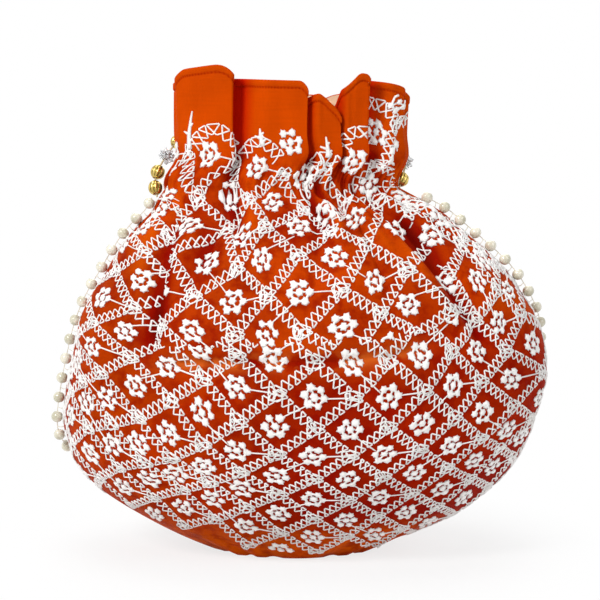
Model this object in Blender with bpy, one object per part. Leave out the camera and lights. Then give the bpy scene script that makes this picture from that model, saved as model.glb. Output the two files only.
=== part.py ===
"""Potli bag: a cloth pouch gathered by a drawstring, standing on its flattened bottom.

Metres, +Z up. X runs across the bag and its front faces -Y. The origin is the middle of the
flat underside, on the surface that the bag stands on.
"""

from math import acos, asin, cos, floor, pi, radians, sin, sqrt

import bmesh
import bpy
from mathutils import Vector

# Body of the bag, measured on the outside of the cloth
BODY_WIDTH = 0.239
BODY_DEPTH = 0.138
WIDEST_HEIGHT = 0.080
BASE_WIDTH = 0.078
BASE_DEPTH = 0.054
LOWER_ROUNDNESS = 2.7
SHOULDER_ROUNDNESS = 2.2

# Gathered neck and the frill above it
NECK_HEIGHT = 0.186
NECK_WIDTH = 0.115
NECK_DEPTH = 0.041
CHANNEL_HEIGHT = 0.006
CHANNEL_EASE = 0.006
FRILL_WIDTH = 0.118
FRILL_DEPTH = 0.045

# Sideways lean of the bag: at each share of the neck's height, how far its middle lies from x = 0
LEAN = (
    (0.00, 0.0000),
    (0.24, 0.0010),
    (0.55, 0.0080),
    (0.72, 0.0072),
    (0.89, 0.0020),
    (0.984, -0.0068),
    (1.10, -0.0020),
    (1.29, -0.0015),
)

# Cloth and lining
CLOTH_THICKNESS = 0.0016
LINING_THICKNESS = 0.0010
CLEARANCE = 0.0003

# Depth of the creases between the pleats, and how far they run down from the channel
SHOULDER_CREASE = 0.0065
NECK_CREASE = 0.0040
FRILL_CREASE = 0.0085
CREASE_LENGTH = 0.062

# Drawstring held in the channel
DRAWSTRING_DIAMETER = 0.0026
DRAWSTRING_EASE = 0.0005

# Pearls sewn along the side seams, from just below the neck to just above the base
PEARL_DIAMETER = 0.0060
PEARL_PITCH = 0.0100
PEARL_THREAD_DIAMETER = 0.0010
PEARL_CLEARANCE = 0.0004
PEARLS_BELOW_NECK = 0.0115
PEARLS_ABOVE_BASE = 0.0130

# Beaded handle: its cord runs from the left of the neck up behind the frill, down over the
# rear shoulder and back up to the right of the neck
HANDLE_CORD_DIAMETER = 0.0010
BEAD_BORE = 0.0030
GOLD_BEAD_DIAMETER = 0.0075
CRYSTAL_DIAMETER = 0.0100
CRYSTAL_CORE = 0.60
LEAST_BEAD_GAP = 0.0003
HANDLE_MARGIN = 0.0012
HANDLE_ROUTE = (
    (-0.0678, 0.0010, 0.1765),
    (-0.0693, 0.0034, 0.1825),
    (-0.0675, 0.0064, 0.1900),
    (-0.0625, 0.0100, 0.1985),
    (-0.0575, 0.0140, 0.2045),
    (-0.0510, 0.0185, 0.2080),
    (-0.0435, 0.0215, 0.2080),
    (-0.0370, 0.0235, 0.2045),
    (-0.0320, 0.0250, 0.1980),
    (-0.0290, 0.0265, 0.1900),
    (-0.0272, 0.0295, 0.1820),
    (-0.0262, 0.0345, 0.1745),
    (-0.0257, 0.0406, 0.1670),
    (-0.0254, 0.0464, 0.1590),
    (-0.0250, 0.0524, 0.1500),
    (-0.0228, 0.0583, 0.1400),
    (-0.0172, 0.0632, 0.1315),
    (-0.0090, 0.0662, 0.1265),
    (0.0000, 0.0674, 0.1250),
    (0.0090, 0.0668, 0.1265),
    (0.0172, 0.0644, 0.1315),
    (0.0228, 0.0594, 0.1400),
    (0.0250, 0.0534, 0.1500),
    (0.0255, 0.0471, 0.1590),
    (0.0260, 0.0406, 0.1670),
    (0.0266, 0.0340, 0.1745),
    (0.0277, 0.0285, 0.1820),
    (0.0297, 0.0250, 0.1900),
    (0.0330, 0.0235, 0.1980),
    (0.0380, 0.0222, 0.2035),
    (0.0445, 0.0197, 0.2058),
    (0.0508, 0.0162, 0.2042),
    (0.0552, 0.0124, 0.1985),
    (0.0560, 0.0092, 0.1920),
    (0.0542, 0.0065, 0.1855),
    (0.0528, 0.0040, 0.1808),
)

# Meshes: where neighbouring faces read as a sharp edge, and which points are one point
SHELL_SHARP_DEGREES = 50
BEAD_SHARP_DEGREES = 60
MERGE_DISTANCE = 1e-6

# How finely the pieces are divided
PLEAT_COLUMNS = (0.0, 0.14, 0.36, 0.64, 0.86)
BODY_ROWS = (0.0, 0.028, 0.067, 0.12, 0.20, 0.30, 0.43, 0.56, 0.70, 0.82, 0.91, 0.965, 1.0)
FRILL_ROWS = (0.45, 1.0)
TUBE_BEVEL_STEPS = 2
DRAWSTRING_POINTS = 56
HANDLE_CORD_POINTS = 80
SEAM_STEPS = 400
STEPS_BETWEEN_KNOTS = 24
BEAD_SIDES = 8
BEAD_ARCS = 4
PEARL_RINGS = 5

# How far apart the cloth is sampled to find its direction, as a share of it and in height
SAMPLE_SHARE = 0.004
SAMPLE_HEIGHT = 0.0006

# One entry for each pleat boundary: share of the cloth, angle round the neck in degrees, how
# deep its crease is, and the hem's height above the neck. Each pleat's own hem height follows.
FRONT_PLEATS = {
    "share": (0.0, 0.24, 0.46, 0.60, 0.76, 1.0),
    "neck_angle": (-90.0, -25.0, 9.0, 24.0, 41.0, 90.0),
    "crease": (0.0, 1.0, 0.75, 0.70, 0.90, 0.0),
    "hem_at_crease": (0.050, 0.053, 0.046, 0.036, 0.049, 0.041),
    "hem_at_crest": (0.057, 0.050, 0.044, 0.050, 0.051),
}
BACK_PLEATS = {
    "share": (0.0, 0.20, 0.40, 0.60, 0.80, 1.0),
    "neck_angle": (90.0, 128.0, 163.0, 197.0, 232.0, 270.0),
    "crease": (0.0, 0.9, 0.9, 0.9, 0.9, 0.0),
    "hem_at_crease": (0.041, 0.039, 0.038, 0.039, 0.040, 0.050),
    "hem_at_crest": (0.043, 0.042, 0.041, 0.042, 0.045),
}

# Degrees round the bag that each side seam swings to the back, at shares of the widest height
RIGHT_SEAM_SWING = ((0.0, 18.0), (0.44, 18.0), (0.75, 13.0), (1.19, 15.0), (1.69, 0.0))
LEFT_SEAM_SWING = ((0.0, 18.0), (0.44, 18.0), (0.78, 0.0))

OBJECT_NAME = "potli_bag"
COLOURS = {
    "front_panel": ((0.62, 0.040, 0.004), 0.45, 0.0),
    "back_panel": ((0.60, 0.050, 0.005), 0.45, 0.0),
    "lining": ((0.83, 0.60, 0.43), 0.60, 0.0),
    "drawstring": ((0.70, 0.12, 0.01), 0.65, 0.0),
    "pearl": ((0.86, 0.82, 0.68), 0.25, 0.0),
    "handle_cord": ((0.75, 0.66, 0.42), 0.70, 0.0),
    "gold": ((0.62, 0.42, 0.10), 0.22, 1.0),
    "crystal": ((0.86, 0.88, 0.90), 0.08, 0.0),
}


def clear_scene():
    for old in list(bpy.data.objects):
        bpy.data.objects.remove(old, do_unlink=True)


def make_collection():
    collection = bpy.data.collections.new(OBJECT_NAME)
    bpy.context.scene.collection.children.link(collection)
    return collection


def make_material(name):
    colour, roughness, metallic = COLOURS[name]
    material = bpy.data.materials.new(name)
    material.use_nodes = True
    shader = material.node_tree.nodes["Principled BSDF"]
    shader.inputs["Base Color"].default_value = (*colour, 1.0)
    shader.inputs["Roughness"].default_value = roughness
    shader.inputs["Metallic"].default_value = metallic
    return material


def ease(t):
    t = min(1.0, max(0.0, t))
    return t * t * (3.0 - 2.0 * t)


def mix(a, b, t):
    return a + (b - a) * t


def eased_through(points, at):
    """Value at a position, easing from each (position, value) point to the next."""
    if at <= points[0][0]:
        return points[0][1]
    for (start, low), (end, high) in zip(points, points[1:]):
        if at <= end:
            return mix(low, high, ease((at - start) / (end - start)))
    return points[-1][1]


def pleat_of(pleats, share):
    """Number of the pleat that a share of the cloth lies in, and how far across that pleat."""
    bounds = pleats["share"]
    index = 0
    while index < len(bounds) - 2 and share >= bounds[index + 1]:
        index += 1
    return index, (share - bounds[index]) / (bounds[index + 1] - bounds[index])


def fullness(height):
    """Roundness of the body: 0 at the base and at the neck, 1 at the widest height."""
    if height < WIDEST_HEIGHT:
        return 1.0 - (1.0 - max(0.0, height) / WIDEST_HEIGHT) ** LOWER_ROUNDNESS
    shoulder_end = NECK_HEIGHT - CHANNEL_HEIGHT
    t = min(1.0, (height - WIDEST_HEIGHT) / (shoulder_end - WIDEST_HEIGHT))
    return 1.0 - t**SHOULDER_ROUNDNESS


def ring_size(height):
    """Half width and half depth of the bag's outline at a height."""
    full = fullness(height)
    if height < WIDEST_HEIGHT:
        return mix(BASE_WIDTH, BODY_WIDTH, full) / 2, mix(BASE_DEPTH, BODY_DEPTH, full) / 2
    open_up = ease((height - NECK_HEIGHT) / (hem_top() - NECK_HEIGHT))
    end_width = mix(NECK_WIDTH, FRILL_WIDTH, open_up)
    end_depth = mix(NECK_DEPTH, FRILL_DEPTH, open_up)
    return mix(end_width, BODY_WIDTH, full) / 2, mix(end_depth, BODY_DEPTH, full) / 2


def hem_top():
    return NECK_HEIGHT + max(FRONT_PLEATS["hem_at_crest"])


def crease_depth(height):
    """Depth of the creases: none on the belly, shallower where the drawstring runs."""
    channel = CHANNEL_HEIGHT / 2 + CHANNEL_EASE
    below = NECK_HEIGHT - channel - height
    if below >= 0.0:
        return SHOULDER_CREASE * ease(1.0 - below / CREASE_LENGTH)
    past_channel = abs(height - NECK_HEIGHT) - CHANNEL_HEIGHT / 2
    beside = SHOULDER_CREASE
    if height > NECK_HEIGHT:
        rise = (height - NECK_HEIGHT - channel) / (hem_top() - NECK_HEIGHT - channel)
        beside = mix(SHOULDER_CREASE, FRILL_CREASE, ease(rise))
    return mix(NECK_CREASE, beside, ease(past_channel / CHANNEL_EASE))


def seam_angles(pleats, height):
    """Angles of the two side seams that bound a panel, in the order of its cloth."""
    right = 90.0 + eased_through(RIGHT_SEAM_SWING, height / WIDEST_HEIGHT)
    left = -90.0 - eased_through(LEFT_SEAM_SWING, height / WIDEST_HEIGHT)
    if pleats is FRONT_PLEATS:
        return left, right
    return right, left + 360.0


def cloth_angle(pleats, share, height):
    """Angle round the bag of a line of the cloth: even on the belly, gathered at the neck."""
    first, last = seam_angles(pleats, height)
    index, across = pleat_of(pleats, share)
    angles = pleats["neck_angle"]
    even = mix(first, last, share)
    gathered = mix(angles[index], angles[index + 1], across)
    rise = (height - WIDEST_HEIGHT) / (NECK_HEIGHT - CHANNEL_HEIGHT - WIDEST_HEIGHT)
    return radians(mix(even, gathered, ease(rise)))


def crease_at(pleats, share, height):
    """How far the cloth is drawn in at a place, by the crease on its side of the pleat."""
    index, across = pleat_of(pleats, share)
    nearest = index if across < 0.5 else index + 1
    return crease_depth(height) * pleats["crease"][nearest] * (2.0 * across - 1.0) ** 2


def hem_height(pleats, share):
    index, across = pleat_of(pleats, share)
    nearest = index if across < 0.5 else index + 1
    crest, crease = pleats["hem_at_crest"][index], pleats["hem_at_crease"][nearest]
    return NECK_HEIGHT + mix(crest, crease, (2.0 * across - 1.0) ** 2)


def middle_x(height):
    return eased_through(LEAN, height / NECK_HEIGHT)


def ring_point(angle, height, drawn_in=0.0):
    """Point on the bag's outline at an angle, 0 at the front and 90 degrees at the right."""
    half_width, half_depth = ring_size(height)
    normal = Vector((sin(angle) / half_width, -cos(angle) / half_depth, 0.0)).normalized()
    x = middle_x(height) + half_width * sin(angle)
    return Vector((x, -half_depth * cos(angle), height)) - normal * drawn_in


def cloth_point(pleats, share, height):
    angle = cloth_angle(pleats, share, height)
    return ring_point(angle, height, crease_at(pleats, share, height))


def cloth_normal(pleats, share, height):
    """Outward normal of the cloth, from points a little to each side."""
    before, after = share - SAMPLE_SHARE, share + SAMPLE_SHARE
    across = cloth_point(pleats, after, height) - cloth_point(pleats, before, height)
    low, high = max(0.0, height - SAMPLE_HEIGHT), height + SAMPLE_HEIGHT
    up = cloth_point(pleats, share, high) - cloth_point(pleats, share, low)
    return across.cross(up).normalized()


def edge_shift(pleats, share, height):
    """Half the seam's clearance, at the two ends of a panel, along the cloth."""
    if 0.0 < share < 1.0:
        return Vector()
    step = SAMPLE_SHARE if share == 0.0 else -SAMPLE_SHARE
    inward = cloth_point(pleats, share + step, height) - cloth_point(pleats, share, height)
    return inward.normalized() * CLEARANCE / 2


def oval_inset(gap, half_width, half_depth):
    """How much smaller each half size of an inner oval is, to keep a gap all round it."""
    return gap * (half_width + half_depth) / (2.0 * sqrt(half_width * half_depth))


def drawstring_size():
    """Half width and half depth of the drawstring's centre line, inside the creases."""
    half_width, half_depth = NECK_WIDTH / 2, NECK_DEPTH / 2
    gap = NECK_CREASE + CLOTH_THICKNESS + DRAWSTRING_EASE + DRAWSTRING_DIAMETER / 2
    inset = oval_inset(gap, half_width, half_depth)
    return half_width - inset, half_depth - inset


def channel_point(pleats, share, height, depth):
    """Point on the channel's inner wall, which passes inside the drawstring."""
    half_width, half_depth = drawstring_size()
    gap = DRAWSTRING_DIAMETER / 2 + DRAWSTRING_EASE
    inward = oval_inset(gap, half_width, half_depth) + depth
    angle = cloth_angle(pleats, share, height)
    x = middle_x(NECK_HEIGHT) + (half_width - inward) * sin(angle)
    return Vector((x, -(half_depth - inward) * cos(angle), height))


def panel_point(pleats, share, height, depth):
    """Point of an outer panel, a given depth under the outer face of the cloth."""
    point = cloth_point(pleats, share, height) + edge_shift(pleats, share, height)
    return point - cloth_normal(pleats, share, height) * depth


def lining_point(pleats, share, height, depth):
    """Point of a lining half, which follows the panel and passes inside the drawstring."""
    beside = panel_point(pleats, share, height, CLOTH_THICKNESS + CLEARANCE + depth)
    inside = channel_point(pleats, share, height, depth) + edge_shift(pleats, share, height)
    past_channel = abs(height - NECK_HEIGHT) - CHANNEL_HEIGHT / 2
    return inside.lerp(beside, ease(past_channel / CHANNEL_EASE))


def columns_of(pleats):
    """Shares of the cloth where the grid's columns lie, closer together at the creases."""
    bounds = pleats["share"]
    shares = [mix(a, b, f) for a, b in zip(bounds, bounds[1:]) for f in PLEAT_COLUMNS]
    return shares + [1.0]


def heights_of(pleats, share):
    """Heights of the grid's rows at one column, from the base to the hem."""
    channel = CHANNEL_HEIGHT / 2
    body_top = NECK_HEIGHT - channel - CHANNEL_EASE
    frill_start = NECK_HEIGHT + channel + CHANNEL_EASE
    heights = [row * body_top for row in BODY_ROWS]
    heights += [NECK_HEIGHT - channel, NECK_HEIGHT + channel, frill_start]
    return heights + [mix(frill_start, hem_height(pleats, share), row) for row in FRILL_ROWS]


def cloth_grid(point_at, pleats, depth):
    """Rows of points over one panel. The first row is the seam under the base."""
    columns = [
        [point_at(pleats, share, height, depth) for height in heights_of(pleats, share)]
        for share in columns_of(pleats)
    ]
    rows = [list(row) for row in zip(*columns)]
    first, last = rows[0][0], rows[0][-1]
    seam = [first.lerp(last, share) for share in columns_of(pleats)]
    return [seam] + rows


def add_object(name, mesh, material, collection):
    mesh.materials.clear()
    mesh.materials.append(material)
    added = bpy.data.objects.new(name, mesh)
    collection.objects.link(added)
    return added


def loft_between(name, outer, inner, material, collection):
    """Closed shell between an outer and an inner grid of the same number of points."""
    mesh = bpy.data.meshes.new(name)
    shell = bmesh.new()
    faces = [[[shell.verts.new(p) for p in row] for row in grid] for grid in (outer, inner)]
    rows, columns = len(outer), len(outer[0])
    for grid in faces:
        for r in range(rows - 1):
            for c in range(columns - 1):
                shell.faces.new((grid[r][c], grid[r][c + 1], grid[r + 1][c + 1], grid[r + 1][c]))
    around = [(0, c) for c in range(columns)]
    around += [(r, columns - 1) for r in range(1, rows)]
    around += [(rows - 1, c) for c in range(columns - 2, -1, -1)]
    around += [(r, 0) for r in range(rows - 2, 0, -1)]
    for (r1, c1), (r2, c2) in zip(around, around[1:] + around[:1]):
        shell.faces.new((faces[0][r1][c1], faces[0][r2][c2], faces[1][r2][c2], faces[1][r1][c1]))
    bmesh.ops.remove_doubles(shell, verts=shell.verts, dist=MERGE_DISTANCE)
    bmesh.ops.recalc_face_normals(shell, faces=shell.faces)
    shell.to_mesh(mesh)
    shell.free()
    mesh.shade_smooth()
    mesh.set_sharp_from_angle(angle=radians(SHELL_SHARP_DEGREES))
    return add_object(name, mesh, material, collection)


def make_panel(name, pleats, material, collection):
    outer = cloth_grid(panel_point, pleats, 0.0)
    inner = cloth_grid(panel_point, pleats, CLOTH_THICKNESS)
    return loft_between(name, outer, inner, material, collection)


def make_lining(name, pleats, material, collection):
    outer = cloth_grid(lining_point, pleats, 0.0)
    inner = cloth_grid(lining_point, pleats, LINING_THICKNESS)
    return loft_between(name, outer, inner, material, collection)


def tube_curve(name, points, diameter):
    """Round tube along points, as a curve with a bevel and filled caps."""
    curve = bpy.data.curves.new(name, "CURVE")
    curve.dimensions = "3D"
    curve.bevel_depth = diameter / 2
    curve.bevel_resolution = TUBE_BEVEL_STEPS
    curve.use_fill_caps = True
    spline = curve.splines.new("POLY")
    spline.points.add(len(points) - 1)
    for index, point in enumerate(points):
        spline.points[index].co = (*point, 1.0)
    return curve


def make_drawstring(material, collection):
    half_width, half_depth = drawstring_size()
    points = []
    for index in range(DRAWSTRING_POINTS):
        angle = 2 * pi * index / DRAWSTRING_POINTS
        x = middle_x(NECK_HEIGHT) + half_width * sin(angle)
        points.append((x, -half_depth * cos(angle), NECK_HEIGHT))
    curve = tube_curve("drawstring", points, DRAWSTRING_DIAMETER)
    curve.splines[0].use_cyclic_u = True
    return add_object("drawstring", curve, material, collection)


def seam_route(share):
    """Points outside one side seam, from the neck down, where the pearls' thread runs."""
    stand_off = PEARL_DIAMETER / 2 + PEARL_CLEARANCE
    top = NECK_HEIGHT - PEARLS_BELOW_NECK
    points = []
    for index in range(SEAM_STEPS + 1):
        height = mix(top, PEARLS_ABOVE_BASE, index / SEAM_STEPS)
        normal = cloth_normal(FRONT_PLEATS, share, height)
        points.append(cloth_point(FRONT_PLEATS, share, height) + normal * stand_off)
    return points


def lengths_along(points):
    lengths = [0.0]
    for a, b in zip(points, points[1:]):
        lengths.append(lengths[-1] + (b - a).length)
    return lengths


def at_length(points, lengths, length):
    """Point and direction at a length along a line of points."""
    index = 0
    while index < len(points) - 2 and lengths[index + 1] < length:
        index += 1
    t = (length - lengths[index]) / (lengths[index + 1] - lengths[index])
    direction = (points[index + 1] - points[index]).normalized()
    return points[index].lerp(points[index + 1], t), direction


def make_pearl_trim(name, share, material, collection):
    """One string of pearls along a seam: a tube that swells into each pearl."""
    route = seam_route(share)
    lengths = lengths_along(route)
    pearl, thread = PEARL_DIAMETER / 2, PEARL_THREAD_DIAMETER / 2
    first = asin(thread / pearl)
    turns = [mix(first, pi - first, ring / (PEARL_RINGS - 1)) for ring in range(PEARL_RINGS)]
    points, radii = [], []
    for index in range(floor((lengths[-1] - 2 * pearl) / PEARL_PITCH) + 1):
        centre, direction = at_length(route, lengths, pearl + index * PEARL_PITCH)
        for turn in turns:
            points.append(centre - direction * pearl * cos(turn))
            radii.append(pearl * sin(turn))
    curve = tube_curve(name, points, PEARL_THREAD_DIAMETER)
    for point, radius in zip(curve.splines[0].points, radii):
        point.radius = radius / thread
    return add_object(name, curve, material, collection)


def smooth_route(knots, point_count):
    """Evenly spaced points on a smooth curve that passes through the knots."""
    knots = [Vector(knot) for knot in knots]
    ends = [2 * knots[0] - knots[1]] + knots + [2 * knots[-1] - knots[-2]]
    fine = []
    for a, b, c, d in zip(ends, ends[1:], ends[2:], ends[3:]):
        for step in range(STEPS_BETWEEN_KNOTS):
            t = step / STEPS_BETWEEN_KNOTS
            bend = (2 * a - 5 * b + 4 * c - d) * t**2 + (3 * b - a - 3 * c + d) * t**3
            fine.append((2 * b + (c - a) * t + bend) / 2)
    fine.append(knots[-1])
    lengths = lengths_along(fine)
    spacing = lengths[-1] / (point_count - 1)
    return [at_length(fine, lengths, spacing * index)[0] for index in range(point_count)]


def bead_mesh():
    """Round bead with a bore, turned about Z: a profile down its outside and up the bore."""
    outside, bore = GOLD_BEAD_DIAMETER / 2, BEAD_BORE / 2
    polar = acos(sqrt(1 - (bore / outside) ** 2))
    bead = bmesh.new()
    profile = []
    for index in range(BEAD_ARCS + 1):
        angle = mix(polar, pi - polar, index / BEAD_ARCS)
        profile.append(bead.verts.new((outside * sin(angle), 0.0, outside * cos(angle))))
    edges = [bead.edges.new(pair) for pair in zip(profile, profile[1:] + profile[:1])]
    bmesh.ops.spin(
        bead,
        geom=profile + edges,
        axis=(0.0, 0.0, 1.0),
        cent=(0.0, 0.0, 0.0),
        angle=2 * pi,
        steps=BEAD_SIDES,
        use_merge=True,
    )
    bmesh.ops.recalc_face_normals(bead, faces=bead.faces)
    mesh = bpy.data.meshes.new("gold_bead")
    bead.to_mesh(mesh)
    bead.free()
    mesh.shade_smooth()
    mesh.set_sharp_from_angle(angle=radians(BEAD_SHARP_DEGREES))
    return mesh


def crystal_mesh():
    """Cluster of pointed crystals: a ball whose faces are drawn out into points."""
    core = CRYSTAL_CORE * CRYSTAL_DIAMETER / 2
    star = bmesh.new()
    bmesh.ops.create_icosphere(star, subdivisions=1, radius=core)
    face_reach = sum(f.calc_center_median().length for f in star.faces) / len(star.faces)
    bmesh.ops.poke(star, faces=star.faces, offset=CRYSTAL_DIAMETER / 2 - face_reach)
    mesh = bpy.data.meshes.new("crystal_cluster")
    star.to_mesh(mesh)
    star.free()
    return mesh


def make_bore_cutter(collection):
    """Rod that bores the crystal clusters, at the origin along Z."""
    bpy.ops.mesh.primitive_cylinder_add(
        vertices=BEAD_SIDES, radius=BEAD_BORE / 2, depth=2 * CRYSTAL_DIAMETER
    )
    cutter = bpy.context.object
    cutter.name = "bore_cutter"
    for owner in list(cutter.users_collection):
        owner.objects.unlink(cutter)
    collection.objects.link(cutter)
    cutter.hide_render = True
    cutter.display_type = "WIRE"
    return cutter


def bored(mesh, cutter, collection):
    """Copy of a mesh with the cutter's bore through it."""
    blank = bpy.data.objects.new("blank", mesh)
    collection.objects.link(blank)
    cut = blank.modifiers.new("bore", "BOOLEAN")
    cut.operation = "DIFFERENCE"
    cut.object = cutter
    graph = bpy.context.evaluated_depsgraph_get()
    result = bpy.data.meshes.new_from_object(blank.evaluated_get(graph))
    bpy.data.objects.remove(blank)
    return result


def bead_kinds(length):
    """Order of the beads on the handle: two gold, one crystal cluster, and one gold to end on."""
    group = 2 * GOLD_BEAD_DIAMETER + CRYSTAL_DIAMETER + 3 * LEAST_BEAD_GAP
    groups = floor((length - 2 * HANDLE_MARGIN - GOLD_BEAD_DIAMETER) / group)
    return ["gold", "gold", "crystal"] * groups + ["gold"]


def bead_seat(route, lengths, start, size):
    """Centre and direction of a bead whose bore lets the bent cord through evenly."""
    first = at_length(route, lengths, start)[0]
    middle = at_length(route, lengths, start + size / 2)[0]
    last = at_length(route, lengths, start + size)[0]
    return (first + 2.0 * middle + last) / 4.0, (last - first).normalized()


def make_handle(materials, collection, cutters):
    route = smooth_route(HANDLE_ROUTE, HANDLE_CORD_POINTS)
    cord = tube_curve("handle_cord", route, HANDLE_CORD_DIAMETER)
    add_object("handle_cord", cord, materials["handle_cord"], collection)
    lengths = lengths_along(route)
    kinds = bead_kinds(lengths[-1])
    sizes = [GOLD_BEAD_DIAMETER if kind == "gold" else CRYSTAL_DIAMETER for kind in kinds]
    gap = (lengths[-1] - 2 * HANDLE_MARGIN - sum(sizes)) / (len(kinds) - 1)
    crystal = bored(crystal_mesh(), make_bore_cutter(cutters), cutters)
    meshes = {"gold": bead_mesh(), "crystal": crystal}
    names = {"gold": "gold_bead", "crystal": "crystal_cluster"}
    counts = {"gold": 0, "crystal": 0}
    start = HANDLE_MARGIN
    for kind, size in zip(kinds, sizes):
        centre, direction = bead_seat(route, lengths, start, size)
        counts[kind] += 1
        name = f"{names[kind]}_{counts[kind]:02d}"
        bead = add_object(name, meshes[kind], materials[kind], collection)
        bead.location = centre
        bead.rotation_mode = "QUATERNION"
        bead.rotation_quaternion = direction.to_track_quat("Z", "Y")
        start += size + gap


def main():
    clear_scene()
    parts = make_collection()
    cutters = bpy.data.collections.new("cutters")
    bpy.context.scene.collection.children.link(cutters)
    materials = {name: make_material(name) for name in COLOURS}
    make_panel("front_panel", FRONT_PLEATS, materials["front_panel"], parts)
    make_panel("back_panel", BACK_PLEATS, materials["back_panel"], parts)
    make_lining("lining_front", FRONT_PLEATS, materials["lining"], parts)
    make_lining("lining_back", BACK_PLEATS, materials["lining"], parts)
    make_drawstring(materials["drawstring"], parts)
    make_pearl_trim("pearl_trim_left", 0.0, materials["pearl"], parts)
    make_pearl_trim("pearl_trim_right", 1.0, materials["pearl"], parts)
    make_handle(materials, parts, cutters)


main()
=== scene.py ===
"""Looks of the potli bag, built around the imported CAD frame.

Metres, +Z up, the front faces -Y. The cloth follows the same outline as the CAD panels, with
finer folds. Its embroidery is laid out flat, in metres along and up the cloth, and then put
on the folded surface.
"""

from itertools import groupby

import bpy
import numpy as np
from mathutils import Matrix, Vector


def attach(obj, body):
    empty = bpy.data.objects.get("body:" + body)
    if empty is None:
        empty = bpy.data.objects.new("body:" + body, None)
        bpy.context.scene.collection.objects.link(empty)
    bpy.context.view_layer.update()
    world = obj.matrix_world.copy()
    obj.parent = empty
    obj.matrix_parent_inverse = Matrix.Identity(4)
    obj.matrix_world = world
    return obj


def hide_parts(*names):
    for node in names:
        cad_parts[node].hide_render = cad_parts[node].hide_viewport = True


# Outline of the body, the neck and the frill: the CAD source's, but for the frill's width and
# the roundness of the lower body's depth, which follow the photograph more closely
BODY_WIDTH = 0.239
BODY_DEPTH = 0.138
WIDEST_HEIGHT = 0.080
BASE_WIDTH = 0.078
BASE_DEPTH = 0.054
LOWER_ROUNDNESS = 2.7
LOWER_DEPTH_ROUNDNESS = 2.1
SHOULDER_ROUNDNESS = 2.2
NECK_HEIGHT = 0.186
NECK_WIDTH = 0.115
NECK_DEPTH = 0.041
CHANNEL_HEIGHT = 0.006
FRILL_WIDTH = 0.1165
FRILL_DEPTH = 0.045
HEM_TOP = 0.243

# Sideways lean of the bag: at each share of the neck's height, how far its middle lies from x = 0
LEAN = (
    (0.00, 0.0000),
    (0.24, 0.0010),
    (0.55, 0.0080),
    (0.72, 0.0072),
    (0.89, 0.0020),
    (0.984, -0.0068),
    (1.065, -0.0004),
    (1.12, -0.0014),
    (1.29, -0.0008),
)

# Degrees round the bag that each side seam swings to the back, at shares of the widest height
RIGHT_SEAM_SWING = ((0.0, 18.0), (0.44, 18.0), (0.75, 13.0), (1.19, 15.0), (1.69, 0.0))
LEFT_SEAM_SWING = ((0.0, 18.0), (0.44, 18.0), (0.78, 0.0))

# Cloth: thickness, the gap of its seams, how deep its creases are, where they start and how far
# they run, and the share of the cloth beside a seam where its folds fade out
CLOTH_THICKNESS = 0.0009
SEAM_GAP = 0.00004
FRILL_CREASE = 0.0080
FRILL_LAP = 0.0026
NECK_CREASE = 0.0048
SHOULDER_CREASE = 0.0085
SHOULDER_CREASE_START = 0.008
SHOULDER_CREASE_LENGTH = 0.075
FRILL_CREASE_FOOT = 0.8
FRILL_CREASE_LENGTH = 0.05
NECK_CREASE_HALF_HEIGHT = 0.002
NECK_CREASE_FADE = 0.010
CREASE_SHARPNESS = 2.4
SEAM_FADE = 0.035

# Unevenness of the cloth: belly, gathers at the drawstring, frill and foot
BELLY_WAVE = 0.0010
FINE_BELLY_WAVE = 0.0006
GATHERS = 0.0009
FINE_GATHERS = 0.00045
FRILL_WAVE = 0.0008
FOOT_WAVE = 0.0008

# Hem: a raised band with a rounded edge and a line of stitches below it, and the steps that
# round its corners
HEM_BAND = 0.0036
HEM_BAND_STEP = 0.0003
HEM_EDGE = 0.0006
HEM_EDGE_START = 0.0002
HEM_RISE = 0.00045
STITCH_DEPTH = 0.0006
STITCH_LINE_WIDTH = 0.00035
HEM_ROUNDING = (-0.05, -0.03, -0.01, 0.01, 0.03, 0.05)

# Pleats: boundaries as a share of the cloth, angles round the neck, depth of each crease, and
# the hem's outline as (share across the pleat, height above the neck)
FRONT = {
    "share": (0.0, 0.24, 0.46, 0.60, 0.76, 1.0),
    "neck_angle": (-90.0, -29.0, 8.0, 24.0, 38.5, 90.0),
    "crease": (0.0, 1.0, 0.75, 0.70, 0.90, 0.0),
    "hem": (
        ((0.0, 0.0465), (0.15, 0.0478), (0.40, 0.0532), (0.86, 0.0556), (0.95, 0.0520), (1.0, 0.0485)),
        ((0.0, 0.0485), (0.50, 0.0480), (0.90, 0.0475), (1.0, 0.0400)),
        ((0.0, 0.0385), (0.18, 0.0408), (0.36, 0.0415), (0.60, 0.0388), (0.82, 0.0345), (1.0, 0.0285)),
        ((0.0, 0.0320), (0.05, 0.0425), (0.42, 0.0468), (0.74, 0.0514), (0.90, 0.0506), (1.0, 0.0475)),
        ((0.0, 0.0480), (0.25, 0.0470), (0.50, 0.0455), (0.75, 0.0430), (1.0, 0.0390)),
    ),
    "sign": 1.0,
}
BACK = {
    "share": (0.0, 0.20, 0.40, 0.60, 0.80, 1.0),
    "neck_angle": (90.0, 128.0, 163.0, 197.0, 232.0, 270.0),
    "crease": (0.0, 0.9, 0.9, 0.9, 0.9, 0.0),
    "hem": (
        ((0.0, 0.0390), (0.20, 0.0420), (0.85, 0.0420), (1.0, 0.0390)),
        ((0.0, 0.0390), (0.15, 0.0425), (0.80, 0.0415), (1.0, 0.0385)),
        ((0.0, 0.0385), (0.15, 0.0410), (0.85, 0.0420), (1.0, 0.0390)),
        ((0.0, 0.0390), (0.20, 0.0425), (0.85, 0.0430), (1.0, 0.0400)),
        ((0.0, 0.0400), (0.20, 0.0430), (0.80, 0.0450), (1.0, 0.0465)),
    ),
    "sign": -1.0,
}

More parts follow.
